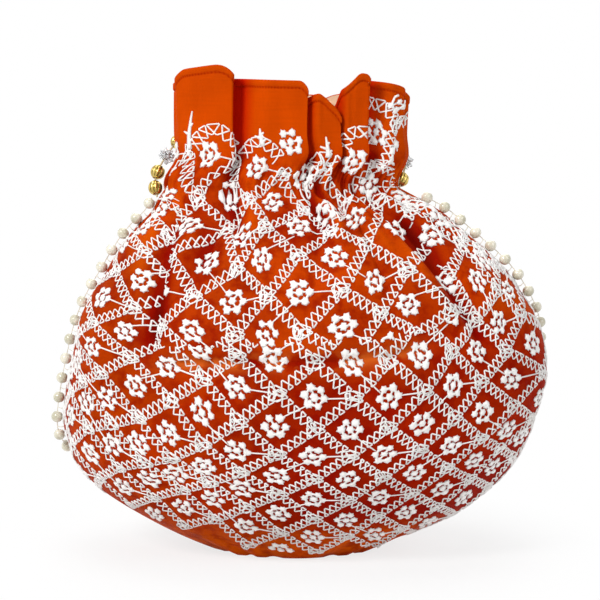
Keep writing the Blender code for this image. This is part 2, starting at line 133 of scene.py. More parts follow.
# Single folds as (points, depth, width, ridge beside). The first is the tuck across the belly.
# The front's points are pixels of the photograph, the back's are x and z in metres.
FRONT_FOLDS = (
    (
        ((150, 352), (200, 348), (250, 345), (315, 344), (360, 342), (402, 336), (436, 326)),
        0.0032,
        0.0030,
        0.5,
    ),
    (((181, 205), (172, 236), (164, 280), (154, 350)), 0.0038, 0.0042, 0.5),
    (((394, 196), (422, 238), (448, 280), (468, 314), (486, 345)), 0.0036, 0.0040, 0.6),
    (((232, 150), (234, 190), (240, 225), (250, 250)), 0.0030, 0.0035, 0.4),
    (((309, 150), (310, 180), (318, 205), (325, 225)), 0.0030, 0.0032, 0.4),
    (((340, 160), (345, 190), (340, 215)), 0.0020, 0.0030, 0.4),
    (((372, 150), (376, 185), (372, 205)), 0.0022, 0.0030, 0.4),
    (((160, 175), (150, 205), (128, 232)), 0.0022, 0.0045, 0.4),
    (((430, 205), (455, 245), (480, 300)), 0.0016, 0.0060, 0.3),
    (((200, 190), (205, 225), (200, 260)), 0.0014, 0.0050, 0.3),
    (((280, 190), (286, 220), (284, 250)), 0.0012, 0.0050, 0.3),
)
BACK_FOLDS = (
    (((-0.060, 0.100), (-0.020, 0.097), (0.030, 0.099), (0.070, 0.104)), 0.0026, 0.0032, 0.5),
    (((-0.046, 0.170), (-0.062, 0.145), (-0.074, 0.118)), 0.0034, 0.0042, 0.5),
    (((0.040, 0.172), (0.060, 0.140), (0.076, 0.112)), 0.0034, 0.0042, 0.5),
    (((-0.012, 0.172), (-0.016, 0.145), (-0.022, 0.128)), 0.0026, 0.0040, 0.4),
    (((0.014, 0.172), (0.020, 0.150), (0.024, 0.130)), 0.0026, 0.0040, 0.4),
)

# Grid of the cloth: its columns and rows, and the hem's rows in widths of its band below the edge
COLUMNS_PER_PLEAT = 44
BODY_ROWS = 112
FRILL_ROWS = 26
BASE_ROWS = 5
HEM_ROWS = (1.7, 1.25, 1.04, 0.94, 0.75, 0.40, 0.12, 0.0)

# Painted on the cloth for its material: the depths that count as fully folded, for painted shade in
# creases and painted highlights on ridges; the fold under the base, for painted shade under the bag;
# the cloth's width and its length under the base; and the width of the lighter patches along the tuck
FULL_CREASE = 0.008
FULL_FOLD = 0.004
FULL_RIPPLE = 0.0035
FOLD_UNDER_BASE = 0.4
CLOTH_WIDTH = 0.300
CLOTH_UNDER_BASE = 0.03
TUCK_PATCH_WIDTH = 0.0038

# Lining: hangs inside the creases and meets the cloth at the hem, where it is sewn for a short
# way before it comes loose
LINING_THICKNESS = 0.0006
LINING_BEHIND = 0.0022
LINING_BELOW_HEM = 0.0006
LINING_OVER_BASE = 0.0006
LINING_GAP = 0.0001
LINING_SEWN = 0.0015
LINING_LOOSENS = 0.008
LINING_IN_PLEAT = 0.0014
LINING_BODY_ROWS = 46
LINING_FRILL_ROWS = 12

# Drawstring: its loop's inset from the neck's outline, and its twist
DRAWSTRING_INSET = 0.0079
DRAWSTRING_DIAMETER = 0.0026
DRAWSTRING_TURNS = 46
DRAWSTRING_POINTS = 420
DRAWSTRING_SIDES = 7

# Pearls along the side seams, as in the CAD source, with their thread and stitches
PEARL_DIAMETER = 0.0060
PEARL_PITCH = 0.0100
PEARL_CLEARANCE = 0.0004
PEARLS_BELOW_NECK = 0.0115
PEARLS_ABOVE_BASE = 0.0130
PEARL_THREAD_RADIUS = 0.00022
PEARL_STITCH_RADIUS = 0.0002
PEARL_STITCH_BOW = 0.0006
PEARL_STITCH_BEFORE = 0.0020
PEARL_STITCH_SINK = 0.0004
PEARL_THREAD_END = 0.0005
PEARL_ROUTE_POINTS = 401
PEARL_THREAD_POINTS = 200
PEARL_THREAD_SIDES = 5

# Handle: cord, beads and route as in the CAD source
HANDLE_CORD_DIAMETER = 0.0010
BEAD_BORE = 0.0030
BEAD_SIZES = {"gold": 0.0075, "crystal": 0.0100}
LEAST_BEAD_GAP = 0.0003
HANDLE_MARGIN = 0.0012
HANDLE_CORD_POINTS = 80
STEPS_BETWEEN_KNOTS = 24
HANDLE_ROUTE = (
    (-0.0678, 0.0010, 0.1765),
    (-0.0693, 0.0034, 0.1825),
    (-0.0675, 0.0064, 0.1900),
    (-0.0625, 0.0100, 0.1985),
    (-0.0575, 0.0140, 0.2045),
    (-0.0510, 0.0185, 0.2080),
    (-0.0435, 0.0215, 0.2080),
    (-0.0370, 0.0235, 0.2045),
    (-0.0320, 0.0250, 0.1980),
    (-0.0290, 0.0265, 0.1900),
    (-0.0272, 0.0295, 0.1820),
    (-0.0262, 0.0345, 0.1745),
    (-0.0257, 0.0406, 0.1670),
    (-0.0254, 0.0464, 0.1590),
    (-0.0250, 0.0524, 0.1500),
    (-0.0228, 0.0583, 0.1400),
    (-0.0172, 0.0632, 0.1315),
    (-0.0090, 0.0662, 0.1265),
    (0.0000, 0.0674, 0.1250),
    (0.0090, 0.0668, 0.1265),
    (0.0172, 0.0644, 0.1315),
    (0.0228, 0.0594, 0.1400),
    (0.0250, 0.0534, 0.1500),
    (0.0255, 0.0471, 0.1590),
    (0.0260, 0.0406, 0.1670),
    (0.0266, 0.0340, 0.1745),
    (0.0277, 0.0285, 0.1820),
    (0.0297, 0.0250, 0.1900),
    (0.0330, 0.0235, 0.1980),
    (0.0380, 0.0222, 0.2035),
    (0.0445, 0.0197, 0.2058),
    (0.0508, 0.0162, 0.2042),
    (0.0552, 0.0124, 0.1985),
    (0.0560, 0.0092, 0.1920),
    (0.0542, 0.0065, 0.1855),
    (0.0528, 0.0040, 0.1808),
)

# What each kind of bead is called as a piece and as a CAD node, and its slot
BEAD_NAMES = {
    "gold": ("gold_beads", "gold_bead", "gold_bead"),
    "crystal": ("crystals", "crystal_cluster", "crystal"),
}

# Gold bead: rows and sides of its mesh, its slanted flutes and its rims
GOLD_ROWS = 19
GOLD_SIDES = 60
FLUTES = 10
FLUTE_DEPTH = 0.00050
FLUTE_SLANT = 1.2
FLUTE_FLOOR = 0.35
RIM_RISE = 0.00012
RIM_WIDTH = 0.09
BORE_SHARE = 0.86
BORE_DEPTH = 0.6

# Crystal cluster: its pointed crystals and their core, none of them near the bore
SPIKES = 24
SPIKE_SIDES = 6
SPIKE_WIDTH = 0.00115
SPIKE_FOOT = 0.0016
SPIKE_ROOT = 0.0014
BORE_POLE = 0.86
CRYSTAL_CORE_RADIUS = 0.0024

# Embroidery. Flowers sit where column + row is even, knots of thread where it is odd, and
# stitched bands join the knots. Rows count downwards. The tables say, by row and column, where
# flowers and knots show in the photograph, below and above the tuck that crosses the belly.
COLUMN_STEP = 0.01875
ROW_STEP = 0.01675
FIRST_ROW, LAST_ROW = -8, 7
FIRST_ROW_ABOVE_NECK = 0.004
FARTHEST_COLUMN = 11
LOWER_PLACES = {
    -5: {5: (438, 219)},
    -4: {5: (462, 239), 6: (484, 262)},
    -3: {-5: (142, 280), 7: (506, 289)},
    -2: {-6: (103, 296), 4: (450, 317), 6: (498, 329), 7: (521, 311)},
    -1: {
        -5: (125, 333), -3: (199, 349), -1: (274, 359), 1: (352, 364), 3: (419, 354), 5: (479, 346),
        7: (534, 344),
    },
    0: {
        -6: (90, 347), -4: (170, 366), -3: (200, 378), -2: (238, 389), -1: (275, 394), 0: (314, 396),
        2: (390, 398), 4: (454, 386), 6: (504, 379),
    },
    1: {
        -5: (140, 384), -3: (200, 412), -2: (237, 419), -1: (275, 427), 1: (350, 430), 3: (421, 424),
        5: (486, 415), 7: (540, 398),
    },
    2: {
        -6: (108, 398), -4: (165, 435), -2: (239, 451), -1: (274, 454), 0: (314, 457), 2: (385, 455),
        4: (450, 445), 6: (505, 429),
    },
    3: {
        -7: (86, 402), -5: (136, 443), -3: (203, 466), -1: (276, 476), 1: (347, 479), 3: (415, 473),
        5: (475, 461), 7: (520, 435),
    },
    4: {
        -6: (113, 446), -4: (178, 473), -2: (243, 489), 0: (314, 500), 2: (380, 497), 4: (442, 488),
        6: (494, 468),
    },
    5: {
        -7: (90, 451), -5: (148, 478), -3: (211, 497), -1: (278, 513), 1: (345, 520), 3: (406, 512),
        5: (463, 497),
    },
    6: {-6: (125, 488), -4: (184, 508), -2: (246, 528), 0: (312, 536), 2: (375, 534)},
    7: {-5: (154, 513)},
}
UPPER_PLACES = {
    -10: {3: (368, 100), 4: (399, 102)},
    -9: {-1: (291, 142), 3: (376, 133), 4: (395, 121)},
    -8: {
        -5: (189, 151), -4: (209, 158), -3: (235, 160), -2: (256, 170), -1: (284, 171), 0: (303, 180),
        1: (322, 168), 2: (357, 160), 3: (372, 166),
    },
    -7: {-5: (164, 216), -3: (230, 201), -1: (273, 203), 1: (328, 211)},
    -6: {
        -4: (190, 224), -2: (242, 237), -1: (261, 229), 0: (300, 223), 1: (327, 236), 2: (354, 219),
        3: (377, 200),
    },
    -5: {
        -3: (207, 264), -2: (238, 267), -1: (261, 259), 0: (297, 257), 1: (335, 257), 2: (367, 246),
        3: (394, 232),
    },
    -4: {
        -2: (232, 302), -1: (266, 296), 0: (300, 293), 1: (339, 290), 2: (376, 282), 3: (402, 268),
        4: (450, 280),
    },
    -3: {-3: (192, 331), -1: (267, 333), 1: (343, 327), 2: (380, 314), 3: (408, 304)},
}
UPPER_ZONE = (
    (150, 40), (165, 150), (179, 212), (155, 348), (200, 348), (245, 345), (315, 344),
    (355, 343), (400, 338), (430, 330), (467, 313), (440, 265), (396, 199), (391, 172),
    (399, 142), (406, 118), (409, 96), (415, 40),
)

# Arcs and thorns of the front's upper border, as they show in the photograph
FRONT_ARCS = (
    ((194, 148), (202, 135), (214, 129), (226, 136), (236, 150)),
    ((243, 157), (250, 146), (260, 140), (270, 147), (279, 160)),
    ((311, 171), (318, 160), (327, 157), (336, 166)),
    ((343, 150), (349, 136), (357, 131), (365, 136), (371, 148)),
    ((368, 103), (380, 106), (389, 112), (395, 122)),
)
FRONT_THORNS = (((190, 149), (192, 112)), ((263, 145), (260, 129)), ((328, 158), (326, 137)))
ARC_POINTS = 13

# The back's border: rise of its arcs, their room at the knots, and where its thorns start and end
ARC_RISE = 0.0116
ARC_MARGIN = 0.002
BACK_THORN = (0.003, 0.017)

# Chart of a panel: its rows and how far they go past the hem, and the shares of the cloth and the
# distances round the bag that it covers, as (first, last, how many)
CHART_ROWS = 300
CHART_PAST_HEM = 0.004
CHART_SHARES = (-0.08, 1.08, 520)
CHART_ACROSS = (-0.24, 0.24, 481)

# Threads: width and height, points round them as (share of the half width, share of the height),
# spacing of their points, and where the embroidered ground ends
THREAD_WIDTH = 0.00076
THREAD_HEIGHT = 0.00056
THREAD_SECTION = ((-1, 0.3), (0, 1.0), (1, 0.3), (0, -0.25))
THREAD_STEP = 0.0026
FINE_THREAD_STEP = 0.0014
BORDER_BELOW_HEM = 0.0048
BORDER_ABOVE_BASE = 0.0040
GROUND_BELOW_NECK = 0.004

# Flowers, knots, bands and thorns, with the widths of their threads as shares of THREAD_WIDTH. A
# dome is (points, raggedness), a stitch (steps along, side), a barb (share of the thorn, reach).
PETALS = 6
PETAL_RADIUS = 0.00245
PETAL_HEIGHT = 0.00070
PETAL_DOME = (6, 0.24)
FLOWER_RADIUS = 0.0049
JOINED_PETALS = 0.75
JOIN_WIDTH = 1.7
SPOKE_WIDTH = 1.2
JUMP_WIDTH = 0.9
KNOT_RADIUS = 0.0018
KNOT_LOOPS = 5
KNOT_SPREAD = 0.0024
KNOT_MIDDLE_RADIUS = 0.0015
KNOT_MIDDLE_HEIGHT = 0.0005
KNOT_DOME = (5, 0.25)
BAND_HALF_WIDTH = 0.0029
STITCH_PITCH = 0.0041
STITCH = ((0.0, -1.0), (1.14, 1.0), (0.30, 1.0))
STITCH_OVERLAP = 0.2
STITCH_WOBBLE = 0.00020
STITCH_ROUNDING = 0.00045
THORN_WIDTH = 4.0
THORN_TAPER = 0.25
BARB_WIDTH = 2.2
BARB_TAPER = 0.5
BARBS = ((0.20, 0.0020), (0.38, -0.0032), (0.60, 0.0014))
BARB_RISE = 0.0014
MOTIF_SCALE = (0.70, 1.06)

# Domes of stitches: how high the edge, the inner ring and the underside lie, and how far out the ring
DOME_EDGE_HEIGHT = 0.12
DOME_RING_HEIGHT = 0.85
DOME_UNDERSIDE = -0.15
DOME_RING_REACH = 0.66

# Parts of the front's embroidery: places, whether they lie above the tuck, how many cells a
# place's pull reaches and how loosely it is followed, and the spacing of the threads' points
FRONT_PARTS = {
    "lower": (LOWER_PLACES, False, (2.2, 0.015), THREAD_STEP),
    "upper": (UPPER_PLACES, True, (1.7, 0.003), FINE_THREAD_STEP),
}

# Colours of the cloth. Its own red-orange is painted lighter and darker by share of the height at its
# left and right: painted light from the upper left and at the very bottom, painted shade on the lower
# belly, most at its right, and painted shade in random patches. It is lighter in the frill, partly
# from painted light, with painted highlights on ridges, painted shade where it is creased, and lighter
# patches along the tuck
LEFT_SHADING_COLOURS = (
    (0.03, (0.66, 0.094, 0.000)),
    (0.10, (0.46, 0.042, 0.000)),
    (0.45, (0.42, 0.036, 0.000)),
    (0.60, (0.42, 0.034, 0.000)),
    (0.78, (0.52, 0.042, 0.000)),
)
RIGHT_SHADING_COLOURS = (
    (0.03, (0.64, 0.090, 0.000)),
    (0.10, (0.28, 0.007, 0.000)),
    (0.42, (0.38, 0.017, 0.000)),
    (0.58, (0.52, 0.047, 0.000)),
    (0.78, (0.52, 0.042, 0.000)),
)
# Frill: lighter orange, partly the cloth's own colour and partly painted light, as the frill catches
# more light
FRILL_COLOUR = (0.57, 0.058, 0.000)
# Painted highlights on the ridges of folds and ripples, lighter higher up
RIDGE_HIGHLIGHT_COLOURS = ((0.36, (0.38, 0.020, 0.000)), (0.56, (0.64, 0.082, 0.000)))
# Painted shade in random patches, standing in for the darker cloth where it puckers round the threads
MOTTLED_SHADE_COLOUR = (0.24, 0.001, 0.000)
# Painted shade in creases and folds, darkest in the deepest ones; redder and lighter in the frill
CREASE_SHADE_COLOUR = (0.25, 0.002, 0.000)
DEEPEST_SHADE_COLOUR = (0.04, 0.000, 0.000)
FRILL_CREASE_SHADE_COLOUR = (0.52, 0.004, 0.000)
FRILL_DEEPEST_SHADE_COLOUR = (0.42, 0.000, 0.000)
# Lighter orange in patches along the tuck
TUCK_PATCH_COLOUR = (0.62, 0.110, 0.012)
STITCH_COLOUR = (0.42, 0.018, 0.000)
STITCH_LENGTH = 0.0026
SILK_PITCH = 0.00042
LINING_PITCH = 0.0006

# Light: strength of the world, the lamps as (name, place, size, power), and what they aim at
WORLD_LIGHT = 0.29
LAMPS = (
    ("key", (-0.85, -0.85, 1.00), 0.40, 14.5),
    ("fill", (1.05, -0.90, 0.85), 0.80, 6.0),
    ("top", (-0.05, 0.15, 1.20), 0.70, 4.5),
    ("rear", (0.10, 1.10, 0.70), 0.90, 4.5),
)
LAMP_TARGET = (0.0, 0.0, 0.11)

# Floor: half its side, its place under the bag, and how far off it goes over into white
FLOOR_REACH = 6.0
FLOOR_LEVEL = -0.0004
FLOOR_FADE = (0.085, 0.17)
FLOOR_WHITE_NEAR = 0.76

# Camera: its distance, how steeply it looks down, what it looks at, and the width that it sees there
CAMERA_DISTANCE = 0.900
CAMERA_RISE = np.radians(6.0)
CAMERA_TARGET = (0.00325, 0.0, 0.125)
VIEW_WIDTH = 0.300

# Photograph: pixels on a side, metres a pixel in the plane through the bag's middle, and where
# that plane's x = 0.0045 and z = -0.003 lie in it
PHOTO_SIZE = 600.0
PHOTO_SCALE = 0.0005
PHOTO_MIDDLE = (302.5, 0.0045)
PHOTO_GROUND = (556.0, -0.003)

UP = np.array([0.0, 0.0, 1.0])
rng = np.random.default_rng(7)


def ease(t):
    t = np.clip(t, 0.0, 1.0)
    return t * t * (3.0 - 2.0 * t)


def mix(a, b, t):
    return a + (b - a) * t


def hill(value, middle, width):
    """One at the middle, falling away smoothly on both sides of it."""
    return np.exp(-(((value - middle) / width) ** 2))


def unit(vectors):
    return vectors / np.maximum(np.linalg.norm(vectors, axis=-1, keepdims=True), 1e-12)


def eased_through(points, at):
    """Value at each position, easing from each (position, value) point to the next."""
    places, values = np.array(points).T
    at = np.asarray(at, float)
    i = np.clip(np.searchsorted(places, at) - 1, 0, len(places) - 2)
    t = (at - places[i]) / (places[i + 1] - places[i])
    return mix(values[i], values[i + 1], ease(t))


def outline(height):
    """Half width and half depth of the bag at each height."""
    t = np.clip(height / WIDEST_HEIGHT, 0.0, 1.0)
    shoulder_end = NECK_HEIGHT - CHANNEL_HEIGHT
    rise = np.clip((height - WIDEST_HEIGHT) / (shoulder_end - WIDEST_HEIGHT), 0.0, 1.0)
    shoulder = 1.0 - rise**SHOULDER_ROUNDNESS
    open_up = ease((height - NECK_HEIGHT) / (HEM_TOP - NECK_HEIGHT))
    halves = []
    for base, body, neck, frill, roundness in (
        (BASE_WIDTH, BODY_WIDTH, NECK_WIDTH, FRILL_WIDTH, LOWER_ROUNDNESS),
        (BASE_DEPTH, BODY_DEPTH, NECK_DEPTH, FRILL_DEPTH, LOWER_DEPTH_ROUNDNESS),
    ):
        lower = mix(base, body, 1.0 - (1.0 - t) ** roundness)
        upper = mix(mix(neck, frill, open_up), body, shoulder)
        halves.append(np.where(height < WIDEST_HEIGHT, lower, upper) / 2)
    return halves


def pleat_of(panel, share):
    """Number of the pleat each share of the cloth lies in, and how far across that pleat."""
    bounds = np.array(panel["share"])
    index = np.clip(np.searchsorted(bounds, share, side="right") - 1, 0, len(bounds) - 2)
    return index, (share - bounds[index]) / (bounds[index + 1] - bounds[index])


def cloth_angle(panel, share, height):
    """Angle round the bag of each line of the cloth, 0 at the front, a quarter turn at the right."""
    right = 90.0 + eased_through(RIGHT_SEAM_SWING, height / WIDEST_HEIGHT)
    left = -90.0 - eased_through(LEFT_SEAM_SWING, height / WIDEST_HEIGHT)
    first, last = (left, right) if panel is FRONT else (right, left + 360.0)
    index, across = pleat_of(panel, share)
    angles = np.array(panel["neck_angle"])
    even = mix(first, last, share)
    gathered = mix(angles[index], angles[index + 1], across)
    rise = (height - WIDEST_HEIGHT) / (NECK_HEIGHT - CHANNEL_HEIGHT - WIDEST_HEIGHT)
    return np.radians(mix(even, gathered, ease(rise)))


def hem_height(panel, share):
    index, across = pleat_of(panel, share)
    height = np.zeros_like(share)
    for number, line in enumerate(panel["hem"]):
        places, values = zip(*line)
        inside = index == number
        for step in HEM_ROUNDING:
            height[inside] += np.interp(across[inside] + step, places, values)
    return NECK_HEIGHT + height / len(HEM_ROUNDING)


def smooth_point(angle, height):
    """Point on the bag's outline before any fold."""
    half_width, half_depth = outline(height)
    x = eased_through(LEAN, height / NECK_HEIGHT) + half_width * np.sin(angle)
    return np.stack([x, -half_depth * np.cos(angle), height], axis=-1)


def normal_of(surface, before, place, after, height, step):
    """Normals of a surface, from points a little before and after, above and below."""
    across = surface(after, height) - surface(before, height)
    low = np.maximum(height - step, 0.0)
    return unit(np.cross(across, surface(place, height + step) - surface(place, low)))


def smooth_normal(angle, height):
    return normal_of(smooth_point, angle - 0.004, angle, angle + 0.004, height, 0.0006)


def crease_depth(height):
    """Depth of the creases between pleats at each height."""
    below = NECK_HEIGHT - height
    body = SHOULDER_CREASE * ease(1.0 - (below - SHOULDER_CREASE_START) / SHOULDER_CREASE_LENGTH)
    opening = ease((height - NECK_HEIGHT) / FRILL_CREASE_LENGTH)
    frill = mix(SHOULDER_CREASE * FRILL_CREASE_FOOT, FRILL_CREASE, opening)
    beside = np.where(below > 0.0, body, frill)
    away = (np.abs(below) - NECK_CREASE_HALF_HEIGHT) / NECK_CREASE_FADE
    return mix(NECK_CREASE, beside, ease(away))


def crease_shape(panel, share, height):
    """How far the cloth is drawn in by the creases: rounded on the body, pleated in the frill."""
    index, across = pleat_of(panel, share)
    crease = np.array(panel["crease"])
    before, after = crease[index], crease[index + 1]
    nearest = np.where(across < 0.5, before, after)
    rounded_in = nearest * np.abs(2.0 * across - 1.0) ** CREASE_SHARPNESS
    pleated = before * (1.0 - ease(across / 0.40)) + after * ease((across - 0.95) / 0.05)
    return mix(rounded_in, pleated, ease((height - NECK_HEIGHT + 0.010) / 0.022))


def photo_to_plane(x, y):
    """Place, in the plane through the bag's middle, of a pixel of the photograph."""
    right = (x - PHOTO_MIDDLE[0]) * PHOTO_SCALE + PHOTO_MIDDLE[1]
    return right, (PHOTO_GROUND[0] - y) * PHOTO_SCALE + PHOTO_GROUND[1]


def fold_lines(panel):
    if panel is BACK:
        return BACK_FOLDS
    return [([photo_to_plane(*p) for p in line], *rest) for line, *rest in FRONT_FOLDS]


def lengths_along(points):
    steps = np.linalg.norm(np.diff(points, axis=0), axis=1)
    return np.concatenate([[0.0], np.cumsum(steps)])


def beside_line(line, points):
    """Distance to a line seen from the front, and a share that fades out towards its ends."""
    x, z = points[..., 0], points[..., 2]
    nearest = np.full(x.shape, 1e9)
    end_fade = np.zeros_like(x)
    starts = lengths_along(np.array(line))
    lengths = np.linalg.norm(np.diff(line, axis=0), axis=1)
    for a, b, start, length in zip(line, line[1:], starts, lengths):
        along = ((x - a[0]) * (b[0] - a[0]) + (z - a[1]) * (b[1] - a[1])) / length**2
        t = np.clip(along, 0.0, 1.0)
        gap = np.hypot(x - mix(a[0], b[0], t), z - mix(a[1], b[1], t))
        place = (start + t * length) / starts[-1]
        fade = ease(place / 0.15) * ease((1.0 - place) / 0.20)
        end_fade = np.where(gap < nearest, fade, end_fade)
        nearest = np.minimum(gap, nearest)
    return nearest, end_fade


def folded_in(panel, points):
    """How far single folds draw the cloth in: a valley along each line, with a ridge beside it."""
    total = np.zeros(points.shape[:-1])
    for line, depth, width, ridge in fold_lines(panel):
        nearest, end_fade = beside_line(line, points)
        valley = hill(nearest, 0.0, width)
        beside = hill(nearest, 2.4 * width, 1.5 * width)
        total += depth * end_fade * (valley - ridge * 0.5 * beside)
    return total


def ripples(panel, share, height):
    """Soft unevenness of the stuffed cloth, and fine gathers at the drawstring.

    The waves run over u and v, about a millimetre each along and up the cloth.
    """
    sign = panel["sign"]
    u, v = share * 300.0, height * 1000.0
    over_neck = height - NECK_HEIGHT
    belly = BELLY_WAVE * np.sin(u / 21.0 + 1.1 * sign + np.sin(v / 19.0)) * np.sin(v / 17.0 + sign)
    belly += FINE_BELLY_WAVE * np.sin(u / 9.5 + v / 14.0 + 2.0 * sign) * np.sin(v / 11.0 - u / 27.0)
    belly = belly * ease(height / 0.03) * ease((NECK_HEIGHT + 0.01 - height) / 0.04)
    gathers = np.sin(u / 4.9 + 1.6 * np.sin(u / 13.0) + sign) + 0.7 * np.sin(u / 3.1 + sign)
    gathers = GATHERS * gathers * hill(over_neck, -0.012, 0.020)
    fine = np.sin(u / 1.7 + 2.2 * np.sin(u / 6.0)) + 0.8 * np.sin(u / 1.15 + sign)
    fine = FINE_GATHERS * fine * hill(over_neck, 0.0, 0.008)
    frill = np.sin(u / 6.3 + v / 23.0) + 0.5 * np.sin(u / 3.4 + v / 31.0 + 2.0 * sign)
    frill = FRILL_WAVE * frill * ease((over_neck - 0.008) / 0.03)
    foot = FOOT_WAVE * np.sin(u / 6.0 + 2.0 * np.sin(u / 17.0)) * hill(height, 0.0, 0.014)
    return belly + gathers + fine + frill + foot


def lap(panel, share, height):
    """How far each pleat's edge moves round the frill, over the start of the next pleat."""
    index, across = pleat_of(panel, share)
    crease = np.array(panel["crease"])
    over = crease[index + 1] * (ease((across - 0.62) / 0.32) - 1.6 * ease((across - 0.95) / 0.05))
    under = -0.6 * crease[index] * (1.0 - ease(across / 0.10))
    return FRILL_LAP * (over + under) * ease((height - NECK_HEIGHT) / 0.016)


def cloth_point(panel, share, height):
    """Point on the outer face of the folded cloth."""
    share, height = np.broadcast_arrays(np.asarray(share, float), np.asarray(height, float))
    angle = cloth_angle(panel, share, height)
    base = smooth_point(angle, height)
    off_seam = ease(share / SEAM_FADE) * ease((1.0 - share) / SEAM_FADE)
    inward = crease_depth(height) * crease_shape(panel, share, height)
    inward = inward + (folded_in(panel, base) - ripples(panel, share, height)) * off_seam
    normal = smooth_normal(angle, height)
    round_bag = unit(np.cross(UP, normal))
    point = base - normal * inward[..., None] + round_bag * lap(panel, share, height)[..., None]
    point[..., 2] = np.maximum(point[..., 2], 0.0)
    return point


def cloth_normal(panel, share, height):
    def on_cloth(shares, heights):
        return cloth_point(panel, shares, heights)

    before, after = np.maximum(share - 0.0012, 0.0), np.minimum(share + 0.0012, 1.0)
    return normal_of(on_cloth, before, share, after, height, 0.0004)


def columns_of(panel):
    """Shares of the cloth at the grid's columns, closer together at the creases."""
    t = np.linspace(0.0, 1.0, COLUMNS_PER_PLEAT + 1)[:-1]
    t = t - 0.075 * np.sin(2 * np.pi * t)
    bounds = panel["share"]
    return np.concatenate([mix(a, b, t) for a, b in zip(bounds, bounds[1:])] + [[1.0]])


def rows_of(panel, shares, body_rows, frill_rows):
    """Heights of the grid's points, as rows by columns, from the base to the hem."""
    t = np.linspace(0.0, 1.0, body_rows)
    body = NECK_HEIGHT * (0.35 * t + 0.65 * t**1.25)
    rows = [np.full_like(shares, height) for height in body]
    hem = hem_height(panel, shares)
    top = hem - HEM_BAND * HEM_ROWS[0]
    for k in range(1, frill_rows + 1):
        rows.append(mix(NECK_HEIGHT, top, k / (frill_rows + 1)))
    return np.array(rows + [hem - HEM_BAND * k for k in HEM_ROWS])


def with_base(grid):
    """The grid with rows added under the bag, from the seam under the base to its rim."""
    rim = grid[0]
    t = np.linspace(0.0, 1.0, rim.shape[0])[:, None]
    seam = mix(rim[0], rim[-1], t)
    return np.concatenate([[mix(seam, rim, k / BASE_ROWS) for k in range(BASE_ROWS)], grid])


def link(name, data):
    """Adds an object with this data to the scene."""
    added = bpy.data.objects.new(name, data)
    bpy.context.scene.collection.objects.link(added)
    return added


def stand_for(piece, slot, *nodes):
    """Puts a piece on the bag's one body, in place of the CAD nodes. The slot is not used."""
    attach(piece, "root")
    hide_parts(*nodes)
    return piece


def add_mesh(name, points, faces, materials, smooth=True, material_index=None):
    mesh = bpy.data.meshes.new(name)
    mesh.from_pydata(np.asarray(points).reshape(-1, 3).tolist(), [], faces)
    for material in materials:
        mesh.materials.append(material)
    if material_index is not None:
        mesh.polygons.foreach_set("material_index", np.asarray(material_index, np.int32))
    mesh.validate()
    if smooth:
        mesh.shade_smooth()
    return link(name, mesh)


def grid_faces(rows, columns, offset=0, flip=False):
    index = np.arange(rows * columns).reshape(rows, columns) + offset
    quads = np.stack([index[:-1, :-1], index[:-1, 1:], index[1:, 1:], index[1:, :-1]], -1)
    quads = quads.reshape(-1, 4)
    return quads[:, ::-1] if flip else quads


def ring_faces(rings, sides, closed=False, flip=False):
    """Quads from each ring of points to the next, and from the last to the first if closed."""
    index = np.arange(rings * sides).reshape(rings, sides)
    index = np.concatenate([index, index[:1]]) if closed else index
    after = np.roll(index, -1, axis=1)
    quads = np.stack([index[:-1], after[:-1], after[1:], index[1:]], -1).reshape(-1, 4)
    return (quads[:, [0, 3, 2, 1]] if flip else quads).tolist()


def shell(name, outer, inner, materials):
    """Closed shell between two grids of the same size."""
    rows, columns = outer.shape[:2]
    count = rows * columns
    faces = grid_faces(rows, columns).tolist()
    faces += grid_faces(rows, columns, count, flip=True).tolist()
    index = np.arange(count).reshape(rows, columns)
    rim = np.concatenate([index[0], index[1:, -1], index[-1, -2::-1], index[-2:0:-1, 0]])
    after = np.roll(rim, -1)
    faces += np.stack([after, rim, rim + count, after + count], -1).tolist()
    points = np.concatenate([outer.reshape(-1, 3), inner.reshape(-1, 3)])
    return add_mesh(name, points, faces, materials)


def shut_in(grid):
    """Moves the two side edges of a panel's grid in by half the seam's gap."""
    moved = grid.copy()
    for edge, beside in ((0, 2), (-1, -3)):
        moved[:, edge] += unit(grid[:, beside] - grid[:, edge]) * SEAM_GAP / 2
    return moved


def paint(cloth, values, under_base, name):
    """Stores a number for each point of both faces, for the material, with the base's own."""
    base = np.broadcast_to(under_base, (BASE_ROWS, values.shape[1]))
    face = np.concatenate([base, values]).ravel()
    attribute = cloth.data.attributes.new(name, "FLOAT", "POINT")
    attribute.data.foreach_set("value", np.concatenate([face, face]).astype(np.float32))


def paint_cloth(cloth, panel, share, heights, stitches):
    """Paints fold depth for painted shade and highlights, the frill, tuck patches, stitches, warp and
    weft.
    """
    frill = ease((heights - NECK_HEIGHT - 0.002) / 0.02)
    base = smooth_point(cloth_angle(panel, share, heights), heights)
    # Fold depth for the material: painted shade in creases and folds, painted highlights on ridges and
    # ripples
    fold = crease_depth(heights) * crease_shape(panel, share, heights) / FULL_CREASE
    fold = fold + folded_in(panel, base) / FULL_FOLD
    fold = fold - ripples(panel, share, heights) / FULL_RIPPLE * (1.0 - frill)
    nearest, end_fade = beside_line(fold_lines(panel)[0][0], base)
    # Under the base the cloth is painted as partly creased: painted shade under the bag
    paint(cloth, fold, FOLD_UNDER_BASE, "fold")
    paint(cloth, frill, 0.0, "frill")
    paint(cloth, share * CLOTH_WIDTH, share[0] * CLOTH_WIDTH, "warp")
    paint(cloth, heights, np.linspace(-CLOTH_UNDER_BASE, 0.0, BASE_ROWS)[:, None], "weft")
    # Where the lighter orange patches along the tuck lie
    paint(cloth, hill(nearest, 0.0, TUCK_PATCH_WIDTH) * end_fade, 0.0, "rub")
    paint(cloth, stitches, 0.0, "stitch")


